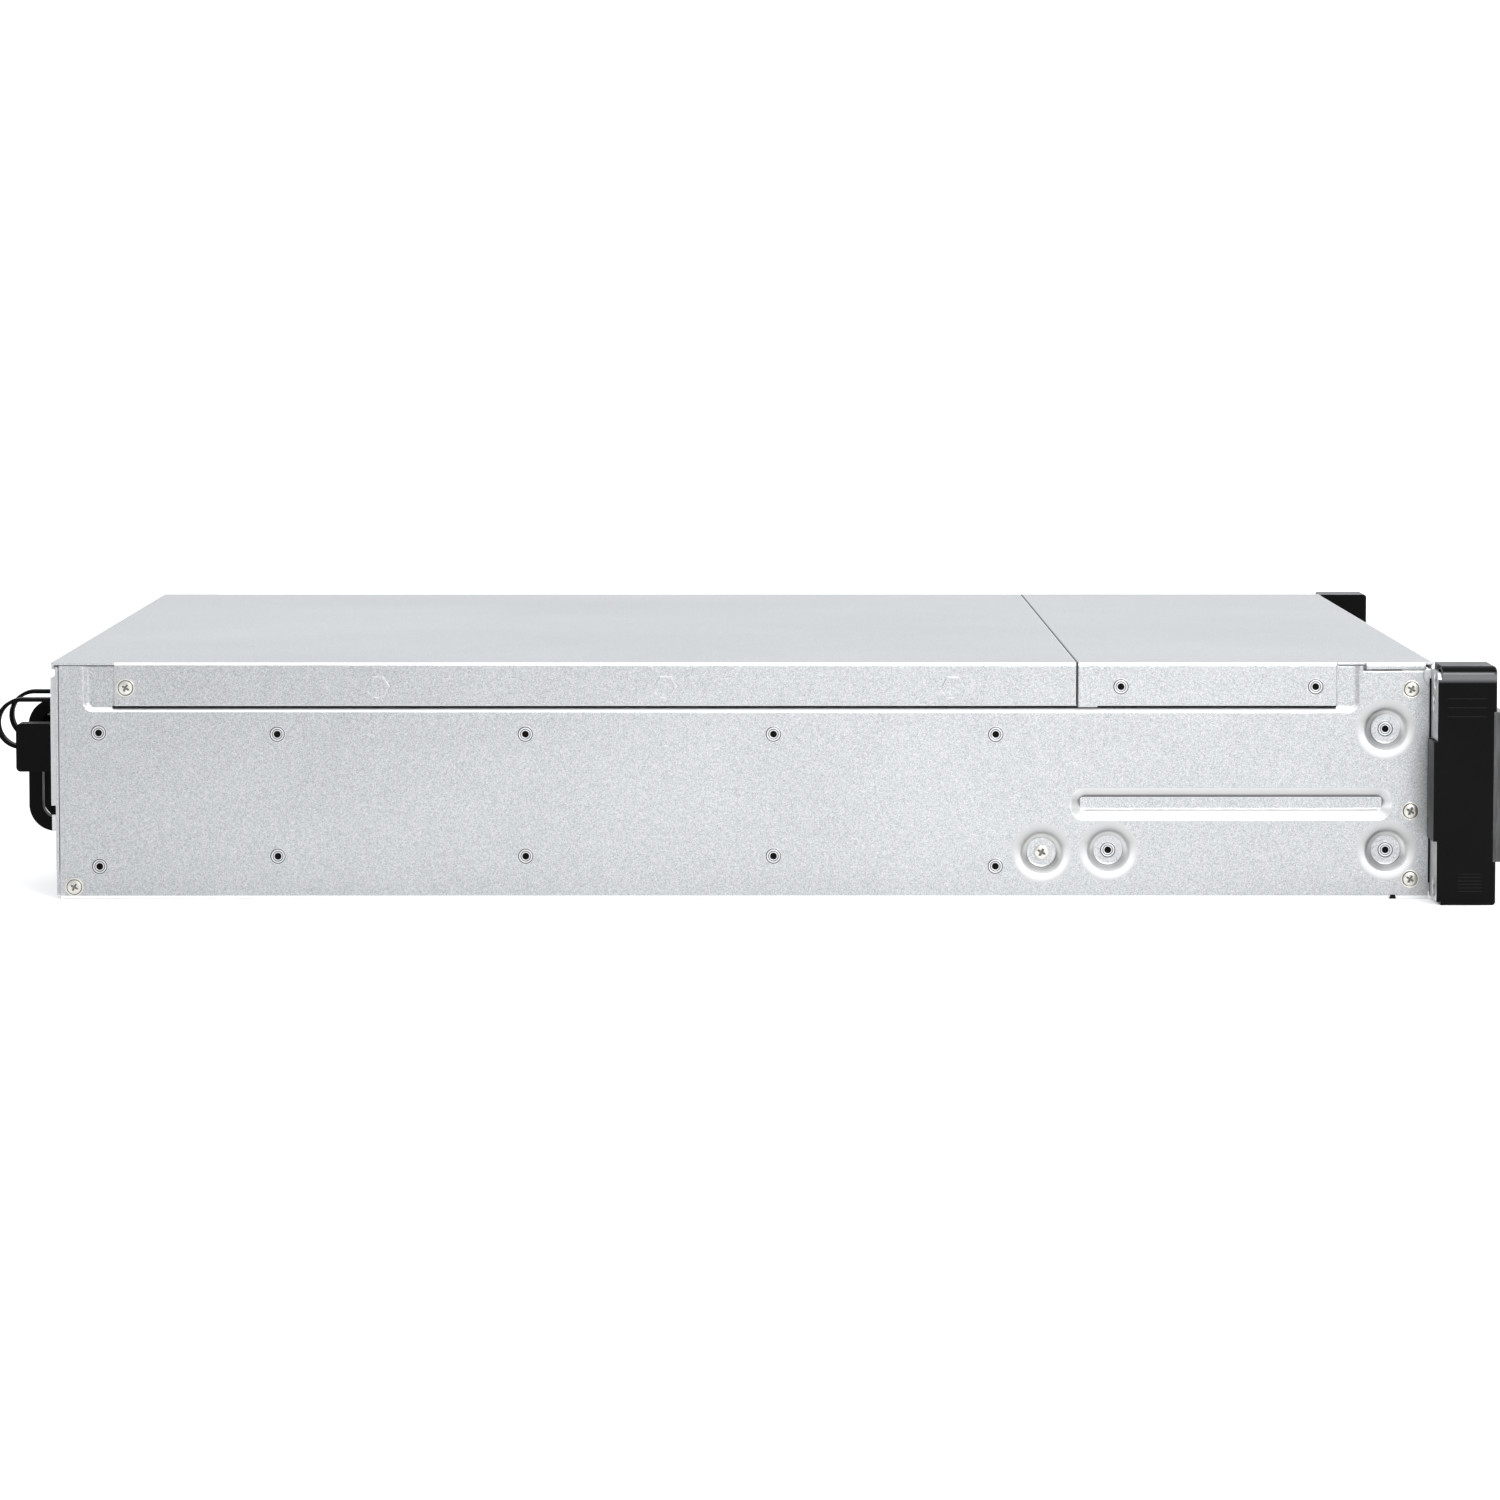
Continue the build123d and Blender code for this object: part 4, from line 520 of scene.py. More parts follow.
# %% Finish: front cover
JOINT_PITCH = 0.124
JOINT_Y = -0.15385
JOINT_RADIUS = 0.0024
HEM = (-0.12385, -0.12360)
tree, shader = zinc_finish("front_sheet", **COVER_ZINC)
axes = object_axes(tree)
aside = maths(tree, "ABSOLUTE", maths(tree, "SUBTRACT", maths(tree, "ABSOLUTE", axes[0]), JOINT_PITCH))
across = maths(tree, "SUBTRACT", aside, JOINT_PITCH / 2)
distance = length_of(tree, across, maths(tree, "SUBTRACT", axes[1], JOINT_Y))
off_ring = maths(tree, "ABSOLUTE", maths(tree, "SUBTRACT", distance, JOINT_RADIUS))
ring = maths(tree, "SUBTRACT", 1.0, spread(tree, off_ring, 0.0001, 0.0004, 0.0, 1.0))
faint = product(tree, ring, 0.35)
colour = blend_colours(tree, faint, source(shader, "Base Color"), grey(0.36, 0.01))
# painted shade: the last half millimetre before the joint goes nearly black
hem = spread(tree, axes[1], HEM[0], HEM[1], 0.0, 0.9)
colour = blend_colours(tree, hem, colour, grey(0.03))
tree.links.new(colour, shader.inputs["Base Color"])
print("front_sheet:", len(tree.nodes), "nodes")

# %% [markdown]
# Pressing moves the sheet further than its flat model shows: round the bead and the dimples
# the shoulders are drawn into soft rolls, and each roll gets a painted highlight and a painted
# shade line where it would catch and lose the light. Their colour runs through stops of
# millimetres and grey. The distance is that from the bead's middle line or from the dimple's
# centre, and there is one run for the upper half and one for the lower.

# %% Finish: pressed side panels
def tone_run(tree, value, stops):
    """Grey that runs through (value, tone) stops."""
    low, high = stops[0][0], stops[-1][0]
    made = node(tree, "ShaderNodeValToRGB", {0: spread(tree, value, low, high, 0.0, 1.0)})
    ramp = made.color_ramp
    ramp.elements[0].color = grey(stops[0][1])
    ramp.elements[1].color = grey(stops[-1][1])
    for place, tone in stops[1:-1]:
        ramp.elements.new((place - low) / (high - low)).color = grey(tone)
    return made.outputs["Color"]


BEAD_MIDDLE = (-0.1806, 0.0354)  # y and z, as for the dimples
BEAD_HALF = 0.0537  # half the length of its middle line
# painted highlight and shade round the bead and the dimples, as stops of millimetres and grey
BEAD_LOWER = [
    (0.0, 0.42), (1.1, 0.42), (1.3, 0.90), (1.75, 0.90), (2.0, 0.12), (2.5, 0.14), (2.9, 0.84),
    (5.6, 0.84), (6.6, 0.48),
]
BEAD_UPPER = [
    (0.0, 0.42), (1.1, 0.42), (1.3, 0.90), (1.95, 0.92), (2.2, 0.16), (2.9, 0.18), (3.7, 0.54),
    (5.7, 0.62), (6.0, 0.44), (6.6, 0.48),
]
DIMPLES = [(-0.11035, 0.0172), (-0.13505, 0.0180), (-0.23755, 0.0631), (-0.23825, 0.0180)]
DIMPLE_LOWER = [
    (4.4, 0.48), (4.9, 0.46), (5.3, 0.22), (5.9, 0.50), (6.5, 0.48), (7.2, 0.60), (8.3, 0.70),
    (9.6, 0.64), (11.0, 0.48),
]
DIMPLE_UPPER = [
    (4.4, 0.48), (4.9, 0.46), (5.25, 0.26), (5.7, 0.76), (6.6, 0.84), (7.3, 0.42), (8.2, 0.32),
    (9.4, 0.42), (11.6, 0.48),
]
PRESSED_IN = 0.2165  # nearer the middle plane than this lie the dimples' floors


def two_runs(tree, upper, millimetres, lower_stops, upper_stops):
    """Tone at a distance by the lower stops where upper is 0, and by the upper ones where 1."""
    lower_tone = tone_run(tree, millimetres, lower_stops)
    return blend_colours(tree, upper, lower_tone, tone_run(tree, millimetres, upper_stops))


tree, shader = zinc_finish("side_sheet", **COVER_ZINC)
axes = object_axes(tree)
outside = beyond(tree, axes[0], PRESSED_IN)
along = maths(tree, "ABSOLUTE", maths(tree, "SUBTRACT", axes[1], BEAD_MIDDLE[0]))
past_end = maths(tree, "MAXIMUM", maths(tree, "SUBTRACT", along, BEAD_HALF), 0.0)
up = maths(tree, "SUBTRACT", axes[2], BEAD_MIDDLE[1])
distance = product(tree, length_of(tree, past_end, up), 1000.0)
upper = spread(tree, up, -0.0016, 0.0012, 0.0, 1.0)
pressed_light_and_shade = two_runs(tree, upper, distance, BEAD_LOWER, BEAD_UPPER)
weight = product(tree, spread(tree, distance, 5.6, 6.5, 1.0, 0.0), outside)
# painted highlight and shade of the bead's rolls
colour = blend_colours(tree, weight, source(shader, "Base Color"), pressed_light_and_shade)
for middle_y, middle_z in DIMPLES:
    up = maths(tree, "SUBTRACT", axes[2], middle_z)
    distance = length_of(tree, maths(tree, "SUBTRACT", axes[1], middle_y), up)
    upper = spread(tree, maths(tree, "DIVIDE", up, distance), -0.45, 0.35, 0.0, 1.0)
    radius = product(tree, distance, 1000.0)
    pressed_light_and_shade = two_runs(tree, upper, radius, DIMPLE_LOWER, DIMPLE_UPPER)
    rising = spread(tree, radius, 4.5, 4.9, 0.0, 1.0)
    falling = spread(tree, radius, 10.4, 11.5, 1.0, 0.0)
    # painted highlight and shade of each dimple's rolls
    colour = blend_colours(tree, product(tree, rising, falling, outside), colour, pressed_light_and_shade)
tree.links.new(colour, shader.inputs["Base Color"])
print("side_sheet:", len(tree.nodes), "nodes")

# %% [markdown]
# The main board is glass fibre under green lacquer with copper beneath. The copper shows as
# lighter lines, so two sets of narrow bands along x and y are masked by slow noise: routes
# run beside each other for a while and stop, as tracks do.

# %% Finish: circuit board
tree, shader = new_finish("circuit_board", 0.0, Coat_Weight=0.35, Coat_Roughness=0.2)
place = tree.nodes.new("ShaderNodeTexCoord").outputs["Object"]
axes = node(tree, "ShaderNodeSeparateXYZ", {0: place}).outputs
TRACK_WAVES = 4200.0  # radians a metre, so 1.5 mm from track to track
tracks = []
for across, seed in ((1, 1.0), (0, 2.0)):
    step = node(tree, "ShaderNodeVectorMath", {0: place, 1: (seed, seed, seed)}, operation="ADD").outputs[0]
    wander = product(tree, maths(tree, "SNAP", noise(tree, step, 22.0, 1.0), 0.08), 0.04)
    moved = maths(tree, "ADD", axes[across], wander)
    wave = maths(tree, "SINE", product(tree, moved, TRACK_WAVES))
    zone = spread(tree, noise(tree, step, 18.0, 0.0), 0.52, 0.56, 0.0, 1.0)
    tracks.append(product(tree, spread(tree, wave, 0.3, 0.5, 0.0, 1.0), zone))
track = maths(tree, "MAXIMUM", tracks[0], tracks[1])
green = blend_colours(tree, track, (0.006, 0.050, 0.022, 1.0), (0.020, 0.110, 0.045, 1.0))
edges = add_effect(tree, "soft_edges", Radius=0.0002)
tree.links.new(green, shader.inputs["Base Color"])
tree.links.new(spread(tree, track, 0.0, 1.0, 0.42, 0.34), shader.inputs["Roughness"])
tree.links.new(bump(tree, track, 0.3, 0.00005, edges["Normal"]), shader.inputs["Normal"])
print("circuit_board:", len(tree.nodes), "nodes")

# %% [markdown]
# A tray and the drive it carries move together, so the model keeps them as one node. The
# drive's cast metal starts behind the bezel and lies inside the plastic rails: a mask worked
# out from the place on the tray chooses between the two finishes.

# %% Finish: tray with its drive
BEZEL_DEPTH = 0.0207
COLUMN_PITCH = 0.1074
RAIL_INNER = 0.0509  # from the middle of a tray to the inner side of its rails
tree, shader = plastic_finish("tray_and_drive", grey(0.016), 0.42)
axes = object_axes(tree)
column = maths(tree, "WRAP", axes[0], COLUMN_PITCH)
column.node.inputs[2].default_value = 0.0
aside = maths(tree, "ABSOLUTE", maths(tree, "SUBTRACT", column, COLUMN_PITCH / 2))
behind = maths(tree, "GREATER_THAN", axes[1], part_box("tray_01")[0][1] + BEZEL_DEPTH)
metal = product(tree, behind, maths(tree, "LESS_THAN", aside, RAIL_INNER))
marks = add_effect(tree, "drawn_lines", X_lines=3000.0, Y_lines=20.0, Z_lines=20.0)
cast = blend_colours(tree, marks["Tone"], grey(0.30), grey(0.46))
colour = blend_colours(tree, metal, source(shader, "Base Color"), cast)
tree.links.new(colour, shader.inputs["Base Color"])
tree.links.new(metal, shader.inputs["Metallic"])
print("tray_and_drive:", len(tree.nodes), "nodes")

# %% [markdown]
# Each node of the model takes one finish. Nodes that repeat are named by the start of their
# names, so one line dresses all twelve trays.

# %% Finishes on the nodes of the model
def dress(material, *names):
    """Puts a finish on nodes of the model, each given by its name or the start of its name."""
    count = 0
    for name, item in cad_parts.items():
        if any(name == start or name.startswith(start + "_") for start in names):
            if not item.material_slots:
                item.data.materials.append(None)
            for holder in item.material_slots:
                holder.material = finishes[material]
            count += 1
    print(material, "on", count, "nodes")


dress("side_sheet", "chassis_base")
dress("zinc_sheet", "rear_top_cover", "rear_panel")
dress("front_sheet", "front_top_cover")
dress("cage_sheet", "drive_cage", "fan_bracket", "psu_cage", "expansion_slot_cover")
dress("bracket_steel", "ear_brackets")
dress("psu_steel", "psu_1_case", "psu_2_case")
dress("ear_plastic", "left_ear_cover", "right_ear_cover")
dress("tray_and_drive", "tray")
dress("lever_plastic", "lever")
dress("handle_plastic", "psu_1_handle", "psu_2_handle", "psu_1_inlet", "psu_2_inlet")
dress("clip_plastic", "psu_1_cord_retainer", "psu_2_cord_retainer")
dress("fan_plastic", "fan_frames", "fan_rotor")
dress("button_plastic", "power_button")
dress("trim_metal", "ear_trims")
dress("sink_aluminium", "cpu_heatsink")
dress("port_metal", "rear_ports")
dress("latch_steel", "psu_1_latch", "psu_2_latch")
dress("nut_steel", "clinch_hardware", "cover_pins")
dress("screw_nickel", "chassis_screws")
dress("circuit_board", "motherboard", "backplane", "memory_modules", "power_board")

# %% [markdown]
# New pieces are surfaces worked out as whole arrays. A grid whose columns close on themselves
# serves turned parts, rounded blocks and bars alike. Doubles at poles and seams are merged,
# and the faces of each closed shell are then turned outwards.

# %% Mesh helpers
def grid_faces(rows, columns):
    """Quads between neighbouring rows of a grid whose columns run round and close."""
    row, column = np.meshgrid(np.arange(rows - 1), np.arange(columns), indexing="ij")
    first = row * columns + column
    second = row * columns + (column + 1) % columns
    return np.stack([first, second, second + columns, first + columns], axis=-1).reshape(-1, 4)


def turned(profile, centre, axis, count=36, phase=0.0):
    """Turned shell: radius r and height h of the profile go to centre + h * axis
    + r * (cos t * u + sin t * v), with t once round. Six steps make a hexagon. A third value
    in each row of the profile is its shade."""
    axis = np.asarray(axis, float)
    u = np.array([0.0, 0.0, 1.0]) if abs(axis[2]) < 0.5 else np.array([1.0, 0.0, 0.0])
    v = np.cross(axis, u)
    t = np.linspace(0.0, 2.0 * np.pi, count, endpoint=False) + phase
    ring = np.cos(t)[:, None] * u + np.sin(t)[:, None] * v
    profile = np.asarray(profile, float)
    heights = profile[:, 1, None, None] * axis
    points = np.asarray(centre, float) + heights + profile[:, 0, None, None] * ring
    shades = [np.repeat(profile[:, 2], count)] if profile.shape[1] > 2 else []
    return (points.reshape(-1, 3), grid_faces(len(profile), count), *shades)


def rounded_block(low, high, radius, steps=3):
    """Closed block with rounded edges. Rings of a rounded rectangle are stacked in z: at the
    angle w the ring is drawn in by radius * (1 - cos w) and lies radius * sin w further out."""
    low, high = np.asarray(low, float), np.asarray(high, float)
    centre, half = (low + high) / 2.0, (high - low) / 2.0
    corner = radius * 1.001
    quarter = np.linspace(0.0, np.pi / 2, steps + 1)
    t = np.concatenate([quarter + start * np.pi / 2 for start in range(4)])
    side = np.repeat([[1, 1], [-1, 1], [-1, -1], [1, -1]], steps + 1, axis=0)
    w = np.linspace(0.0, np.pi / 2, steps + 1)
    inset = radius * np.concatenate([1 - np.sin(w), 1 - np.cos(w)])
    level = np.concatenate([radius * (1 - np.cos(w)) - half[2], half[2] - radius * (1 - np.sin(w))])
    reach = (corner - inset)[:, None]
    x = side[:, 0] * (half[0] - corner) + reach * np.cos(t)
    y = side[:, 1] * (half[1] - corner) + reach * np.sin(t)
    z = np.repeat(level[:, None], len(t), axis=1)
    rings = np.stack([x, y, z], axis=-1)
    ends = [np.broadcast_to([0.0, 0.0, rings[end, 0, 2]], rings[0].shape)[None] for end in (0, -1)]
    points = np.concatenate([ends[0], rings, ends[1]]) + centre
    return points.reshape(-1, 3), grid_faces(len(points), len(t))


def piece(name, shells, material, body, smooth_angle=0.6):
    """One object of several shells, in millimetres, that rides on a body of the model. A shell
    is its points, its quads and, where some of it is shaded, a shade for each point."""
    starts = np.cumsum([0] + [len(shell[0]) for shell in shells[:-1]])
    points = np.concatenate([shell[0] for shell in shells]) * 0.001
    faces = np.concatenate([shell[1] + start for shell, start in zip(shells, starts)])
    shades = [shell[2] if len(shell) > 2 else np.zeros(len(shell[0])) for shell in shells]
    mesh = bpy.data.meshes.new(name)
    mesh.vertices.add(len(points))
    mesh.vertices.foreach_set("co", points.ravel())
    mesh.loops.add(faces.size)
    mesh.loops.foreach_set("vertex_index", faces.ravel())
    mesh.polygons.add(len(faces))
    mesh.polygons.foreach_set("loop_start", np.arange(0, faces.size, 4))
    mesh.update(calc_edges=True)
    if any(shade.any() for shade in shades):
        attribute = mesh.attributes.new("shade", "FLOAT", "POINT")
        attribute.data.foreach_set("value", np.concatenate(shades))
    work = bmesh.new()
    work.from_mesh(mesh)
    bmesh.ops.remove_doubles(work, verts=work.verts, dist=1e-7)
    bmesh.ops.recalc_face_normals(work, faces=work.faces)
    work.to_mesh(mesh)
    work.free()
    mesh.shade_smooth()
    mesh.set_sharp_from_angle(angle=smooth_angle)
    mesh.materials.append(finishes[material])
    made = bpy.data.objects.new(name, mesh)
    bpy.context.scene.collection.objects.link(made)
    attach(made, body)
    print(name, "on", body + ":", len(mesh.polygons), "faces")
    return made


print("mesh helpers ready")

# %% [markdown]
# The unit stands on a plain pale floor, which catches its soft shadow. Like a light table it
# glows a little, so it stays white close to the unit. One round face is enough: it is not part
# of the object.

# %% Floor
FLOOR_RADIUS = 9.0
FLOOR_CORNERS = 64
floor_tree, floor_shader = new_finish("pale_floor", 0.0, Roughness=0.9, Emission_Strength=0.25)
floor_place = floor_tree.nodes.new("ShaderNodeTexCoord").outputs["Object"]
floor_cloud = noise(floor_tree, floor_place, 1.5, 2.0)
floor_colour = blend_colours(floor_tree, floor_cloud, grey(0.93), grey(0.96))
floor_tree.links.new(floor_colour, floor_shader.inputs["Base Color"])
floor_tree.links.new(floor_colour, floor_shader.inputs["Emission Color"])
turns = np.linspace(0.0, 2.0 * np.pi, FLOOR_CORNERS, endpoint=False)
rim = np.stack([np.cos(turns), np.sin(turns), np.zeros(FLOOR_CORNERS)], axis=-1) * FLOOR_RADIUS
floor_mesh = bpy.data.meshes.new("floor")
floor_mesh.from_pydata(rim.tolist(), [], [list(range(FLOOR_CORNERS))])
floor_mesh.materials.append(finishes["pale_floor"])
floor = bpy.data.objects.new("floor", floor_mesh)
bpy.context.scene.collection.objects.link(floor)
print("floor of radius", FLOOR_RADIUS, "m")

# %% [markdown]
# The fine pieces of the two sides are placed from the panel's own ends, as a drawing would give
# them: y is counted from the rear or the front end, and z is the height above the floor's
# underside. Both sides carry the same ones.

# %% Places along the side, in millimetres
base_low, base_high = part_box("chassis_base")
SIDE_X = base_high[0] * 1000.0
REAR_Y = base_high[1] * 1000.0
FRONT_Y = base_low[1] * 1000.0
PRESS_DEPTH = 3.1
FLANGE_Z = 79.0
rail_nuts = [(REAR_Y - 80.75 - 91.9 * step, z) for step in range(3) for z in (16.0, 61.4)]
plain_nuts = [(REAR_Y - 14.6, z) for z in (12.2, 61.9)] + [(FRONT_Y + 160.6, z) for z in (12.2, 61.3)]
cover_nuts = [(REAR_Y - 393.2, FLANGE_Z), (REAR_Y - 465.3, FLANGE_Z)]
dimple_nuts = [(FRONT_Y + 118.7, 18.0), (FRONT_Y + 16.0, 63.1), (FRONT_Y + 15.6, 18.0)]
dimple_screw = (FRONT_Y + 143.4, 17.2)
hexagons = [(REAR_Y - 118.1 - 106.45 * step, FLANGE_Z) for step in range(3)]
flange_screw = (REAR_Y - 24.7, 78.6)
side_screws = [(FRONT_Y + 6.6, z) for z in (7.4, 32.7, 78.0)] + [(REAR_Y - 5.1, 4.5)]
print(len(rail_nuts + plain_nuts + cover_nuts + dimple_nuts), "nuts a side")


def on_sides(points, depth=0.0):
    """Centres and outward axes of the points on both side panels, set in by a depth."""
    return [((side * (SIDE_X - depth), y, z), (side, 0.0, 0.0)) for side in (-1, 1) for y, z in points]


# %% [markdown]
# The side panels carry flush nuts: a steel ring pressed in level with the sheet, with a bore
# in painted shade. At the photograph's scale a nut is some sixteen pixels across, so what tells
# is its circles: the bore, a thin groove and the shadow round its rim, all three painted as
# shade. Each row of the profile is a radius, a height over the sheet and a shade.

# %% Flush nuts
# third values are painted shade: 1 in the bore, 0.8 in the groove, 0.85 as the rim's shadow
NUT_PROFILE = [
    (0.0, 0.03, 1.0), (1.22, 0.03, 1.0), (1.28, 0.04, 0.6), (1.34, 0.07, 0.0), (1.62, 0.08, 0.0),
    (1.70, 0.05, 0.8), (1.92, 0.05, 0.8), (2.00, 0.08, 0.0), (2.46, 0.09, 0.0), (2.54, 0.06, 0.85),
    (2.80, 0.04, 0.85), (2.88, 0.03, 0.0), (3.05, 0.01, 0.0), (3.07, -0.12, 0.0), (0.0, -0.12, 0.0),
]
places = on_sides(rail_nuts + plain_nuts) + on_sides(dimple_nuts, PRESS_DEPTH)
rims = [turned(NUT_PROFILE, centre, axis) for centre, axis in places]
piece("flush_nut_rims", rims, "nut_plating", "chassis")
rims = [turned(NUT_PROFILE, centre, axis) for centre, axis in on_sides(cover_nuts)]
piece("front_flange_nuts", rims, "nut_plating", "chassis")

# %% [markdown]
# The gaps between the sheets show as black lines: across the joint between the covers, below
# the covers' flanges, beside the ears and in the bottom notch. Thin black strips put there
# stand in for the shade in the gaps. Each strip is a rounded block.

# %% Painted shade in the gaps
rear_cover_start = 1000.0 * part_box("rear_top_cover")[0][1]
joint_front, joint_rear = rear_cover_start - 0.32, rear_cover_start - 0.06
side_strips = {  # low and high corner on the +x side
    "down the joint": ((218.35, joint_front, 72.4), (219.35, joint_rear, 87.0)),
    "below the flanges": ((218.35, -219.3, 71.15), (219.2, 234.0, 71.8)),
    "beside the ear": ((217.6, FRONT_Y - 0.62, 6.0), (219.2, FRONT_Y - 0.08, 82.0)),
    "in the bottom notch": ((218.4, -241.9, 0.05), (219.3, -239.6, 1.7)),
}
strips = [rounded_block((-218.2, joint_front, 86.9), (218.2, joint_rear, 87.95), 0.1)]
for side in (-1, 1):
    for low, high in side_strips.values():
        xs = sorted((side * low[0], side * high[0]))
        strips.append(rounded_block((xs[0],) + low[1:], (xs[1],) + high[1:], 0.1))
# painted shade: black strips stand where the gaps between the sheets look dark
piece("gap_shade_strips", strips, "gap_shade_black", "chassis")

# %% [markdown]
# The screws have a low domed head with a cross recess. The head is a height over polar
# coordinates: a dome, less a cross wherever the point lies within a blade's width of either
# diameter. That keeps one closed surface, with no boolean to go wrong. Under the head lies a
# seat in painted shade, as the head's shadow, but for a bright ring at its rim, and a short
# shank ties the head to the panel.

# %% Cross-head screws
BLADE_HALF_WIDTH, BLADE_SLOPE = 0.17, 0.06  # in radii of the head
BLADE_HALF_LENGTH, END_SLOPE = 0.62, 0.12
CROSS_ANGLE = 0.5  # radians
CROSS_DEPTH = 0.75  # of the head's height


def cross_head(centre, axis, radius, height):
    """Domed head: height * sqrt(1 - 0.6 (r / R)^2), less a cross with sloping sides and ends.
    The shell is closed by a flat back. The cross is in painted shade, and the head's edge and its back in a
    lighter painted shade."""
    spokes, circles = 64, 18
    axis = np.asarray(axis, float)
    u = np.array([0.0, 0.0, 1.0])
    v = np.cross(axis, u)
    t = np.linspace(0.0, 2.0 * np.pi, spokes, endpoint=False)[None, :]
    r = (np.linspace(0.0, 1.0, circles) ** 0.8)[:, None]
    p, q = np.abs(r * np.cos(t + CROSS_ANGLE)), np.abs(r * np.sin(t + CROSS_ANGLE))
    blade = np.clip((BLADE_HALF_WIDTH - np.minimum(p, q)) / BLADE_SLOPE, 0.0, 1.0)
    reach = np.clip((BLADE_HALF_LENGTH - np.maximum(p, q)) / END_SLOPE, 0.0, 1.0)
    dome = height * np.sqrt(1.0 - 0.6 * r ** 2)
    level = dome - CROSS_DEPTH * height * blade * reach
    # painted shade: the cross recess, and more lightly the head's edge and back
    shade = np.concatenate([0.7 * blade * reach, np.full((2, spokes), 0.4)])
    level = np.concatenate([level, np.zeros((2, spokes))])
    r = np.concatenate([r, [[1.02], [0.0]]])
    ring = np.cos(t)[..., None] * u + np.sin(t)[..., None] * v
    points = np.asarray(centre, float) + level[..., None] * axis + radius * r[..., None] * ring
    return points.reshape(-1, 3), grid_faces(len(level), spokes), shade.ravel()


# the seat's inner part is painted shade, as the head's shadow; its rim stays bright
SEAT_PROFILE = [
    (0.0, 0.02, 0.8), (2.86, 0.02, 0.8), (2.92, 0.05, 0.0), (3.3, 0.03, 0.0),
    (3.4, 0.0, 0.0), (3.4, -0.1, 0.0), (0.0, -0.1, 0.0),
]
SHANK_PROFILE = [(0, 0.1), (1.45, 0.1), (1.45, -2.6), (0, -2.6)]
HEAD_ANGLE = 0.9  # radians: edges blunter than this are shaded smooth
places = on_sides(side_screws)
shells = [cross_head(centre, axis, 2.55, 0.75) for centre, axis in places]
shells += [turned(SEAT_PROFILE, centre, axis, 48) for centre, axis in places]
shells += [turned(SHANK_PROFILE, centre, axis, 24) for centre, axis in places]
screws = piece("cross_head_screws", shells, "screw_nickel", "chassis", HEAD_ANGLE)
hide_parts("chassis_screws")
places = on_sides([dimple_screw], PRESS_DEPTH)
shells = [cross_head(centre, axis, 2.6, 1.1) for centre, axis in places]
piece("dimple_screws", shells, "screw_nickel", "chassis", HEAD_ANGLE)
places = on_sides([flange_screw])
shells = [cross_head(centre, axis, 2.5, 0.7) for centre, axis in places]
shells += [turned(SEAT_PROFILE, centre, axis, 48) for centre, axis in places]
piece("cover_flange_screws", shells, "screw_nickel", "top_cover", HEAD_ANGLE)

# %% [markdown]
# Each pin of the rear cover ends in a hexagon pressed flush into the flange. Six steps of the
# turned surface make it: a plateau that rises to its rim in two steps of about a hundredth of
# a millimetre, enough for a faint bright outline.

# %% Hexagon pin heads
HEX_PROFILE = [
    (0.0, 0.030), (3.2, 0.030), (3.5, 0.045), (3.8, 0.045), (4.1, 0.055), (4.35, 0.055),
    (4.5, 0.0), (4.5, -0.4), (0.0, -0.4),
]
heads = [turned(HEX_PROFILE, centre, axis, 6, np.pi / 6) for centre, axis in on_sides(hexagons)]
piece("cover_hexagon_heads", heads, "zinc_sheet", "top_cover", 0.3)

# %% [markdown]
# The photograph hides the front, so the lamps are those that such units have: three in the
# window under the power button, and two beside each tray's lever. The trays' lamps are small
# domes, turned like the nuts; the window's are milky bars.

# %% Lamps
plastic_finish("lamp_lens", (0.42, 0.50, 0.44, 1.0), 0.22, relief=0.05)
LENS_PROFILE = [(0.0, 0.42), (0.4, 0.36), (0.72, 0.2), (0.9, 0.0), (0.92, -1.6), (0.0, -1.6)]
BAR_HALF_WIDTH, BAR_HALF_HEIGHT = 1.15, 2.4
BAR_HEIGHTS = (29.7, 35.0, 40.3)
LAMP_ASIDE = 49.9  # from the middle of a tray
LAMP_RISES = (19.0, 22.4)  # over the bottom of a tray
button_low, button_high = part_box("power_button")
button_x = button_low[0] * 500.0 + button_high[0] * 500.0
trim_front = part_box("ear_trims")[0][1] * 1000.0
bars = [
    rounded_block(
        (button_x - BAR_HALF_WIDTH, trim_front + 0.8, z - BAR_HALF_HEIGHT),
        (button_x + BAR_HALF_WIDTH, trim_front + 4.6, z + BAR_HALF_HEIGHT),
        0.35,
    )
    for z in BAR_HEIGHTS
]
piece("status_lamps", bars, "lamp_lens", "chassis")
for number in range(1, 13):
    name = "tray_%02d" % number
    low, high = (np.array(corner) * 1000.0 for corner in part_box(name))
    lamp_x = (low[0] + high[0]) / 2.0 + LAMP_ASIDE
    places = [(lamp_x, low[1], low[2] + rise) for rise in LAMP_RISES]
    lenses = [turned(LENS_PROFILE, place, (0, -1, 0), 16) for place in places]
    piece(name + "_lamps", lenses, "lamp_lens", name)

# %% [markdown]
# With the rear cover off, the main board shows. Boards of this kind carry a chip set under a
# black package, rows of capacitors beside the processor, coils, a battery and long card
# sockets. Each part is a rounded block or a turned can on the board's top.

# %% Parts of the main board
board_low, board_high = (np.array(corner) * 1000.0 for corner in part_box("motherboard"))
sink_low, sink_high = (np.array(corner) * 1000.0 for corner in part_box("cpu_heatsink"))
BOARD_THICKNESS = 1.6
TOP = board_low[2] + BOARD_THICKNESS
plastic_finish("chip_plastic", grey(0.014), 0.5, relief=0.2)
plastic_finish("socket_plastic", grey(0.55), 0.42, relief=0.1)
drawn_finish("can_aluminium", grey(0.62), grey(0.74), 0.26, lines=(3000.0, 3000.0, 20.0))


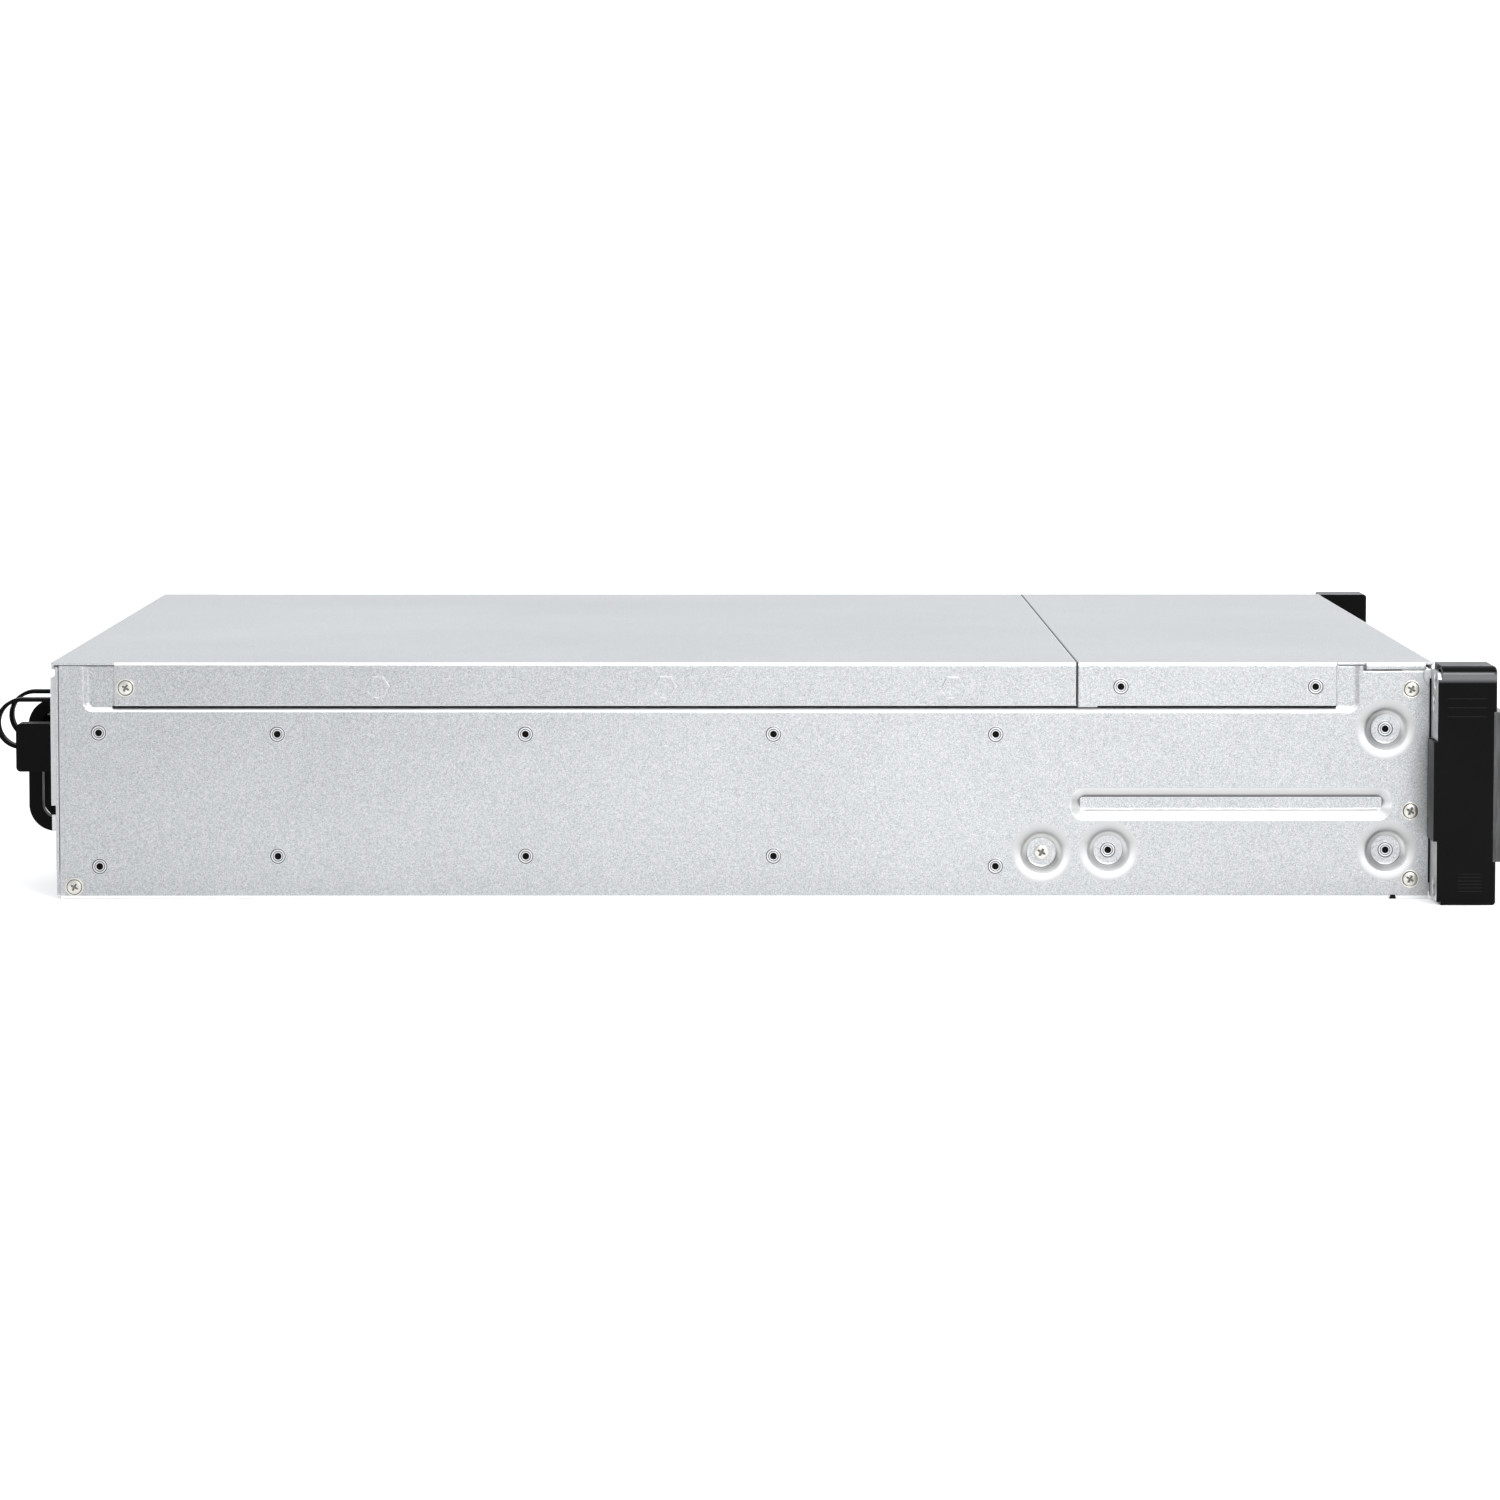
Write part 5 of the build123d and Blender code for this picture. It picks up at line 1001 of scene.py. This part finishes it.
def part_on_board(x, y, width, depth, height, radius=0.25):
    """Rounded block that stands on the board, round a place x, y."""
    low = (x - width / 2, y - depth / 2, TOP)
    return rounded_block(low, (x + width / 2, y + depth / 2, TOP + height), radius)


CHIPS = [  # x, y, width and depth
    (168.0, 20.0, 26.0, 26.0), (-70.0, 40.0, 14.0, 14.0), (-88.0, 150.0, 17.0, 17.0),
    (40.0, 208.0, 12.0, 12.0), (-40.0, 196.0, 10.0, 10.0), (60.0, -6.0, 14.0, 20.0),
    (186.0, 214.0, 9.0, 9.0), (-60.0, 100.0, 8.0, 8.0),
]
chips = [part_on_board(*chip, 1.4) for chip in CHIPS]
coil_ys = np.linspace(sink_low[1] + 6, sink_high[1] - 6, 6)
coils = [part_on_board(sink_low[0] - 10.0, y, 7.5, 7.5, 4.2, 0.6) for y in coil_ys]
slots = [part_on_board(x, 120.0, 7.4, 89.0, 11.2, 0.4) for x in (160.0, 180.0, 200.0)]
header_xs = np.linspace(-100.0, 190.0, 9)
headers = [part_on_board(x, board_low[1] + 9.0, 14.0, 6.0, 8.5, 0.3) for x in header_xs]
piece("board_chips", chips + coils, "chip_plastic", "chassis")
piece("board_sockets", slots + headers, "socket_plastic", "chassis")
CAN_PROFILE = [
    (0.0, 11.0), (2.9, 11.0), (3.3, 10.6), (3.3, 1.9), (2.95, 1.6), (3.3, 1.3), (3.3, 0.0), (0.0, 0.0),
]
CELL_PROFILE = [(0, 4.4), (9.4, 4.4), (9.8, 4.0), (9.8, 1.2), (0, 1.2)]
can_places = [(sink_low[0] - 19.0, y, TOP) for y in np.linspace(sink_low[1], sink_high[1], 8)]
can_places += [(x, sink_high[1] + 14.0, TOP) for x in np.linspace(sink_low[0], sink_high[0], 7)]
can_places += [(-100.0, y, TOP) for y in (0.0, 12.0, 24.0, 190.0, 202.0)]
cans = [turned(CAN_PROFILE, place, (0, 0, 1), 20) for place in can_places]
cell = turned(CELL_PROFILE, (150.0, 200.0, TOP), (0, 0, 1), 40)
piece("board_cans", cans + [cell], "can_aluminium", "chassis")

# %% [markdown]
# Each network jack holds eight sprung gold wires that slope down from its roof. A wire is a
# bar whose ends lie at two heights: a rounded block sheared along its length.

# %% Jack contacts
FIRST_JACK_X = -92.0
JACK_PITCH = 16.0
WIRE_PITCH = 1.02
WIRE_WIDTH = 0.44
WIRE_LENGTH = 8.8
WIRE_INSET = 3.2  # of the outer ends, from the jack's mouth
WIRE_HEIGHT = 19.6
WIRE_SLOPE = 0.28
mouth_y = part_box("rear_ports")[1][1] * 1000.0
wire_end = mouth_y - WIRE_INSET
wires = []
for jack in range(4):
    for wire in range(8):
        x = FIRST_JACK_X + JACK_PITCH * jack + (wire - 3.5) * WIRE_PITCH
        low = (x - WIRE_WIDTH / 2, wire_end - WIRE_LENGTH, 0.0)
        points, faces = rounded_block(low, (x + WIRE_WIDTH / 2, wire_end, 0.3), 0.08, steps=1)
        points[:, 2] += WIRE_HEIGHT - WIRE_SLOPE * (wire_end - points[:, 1])
        wires.append((points, faces))
piece("jack_contacts", wires, "gold_contacts", "chassis")
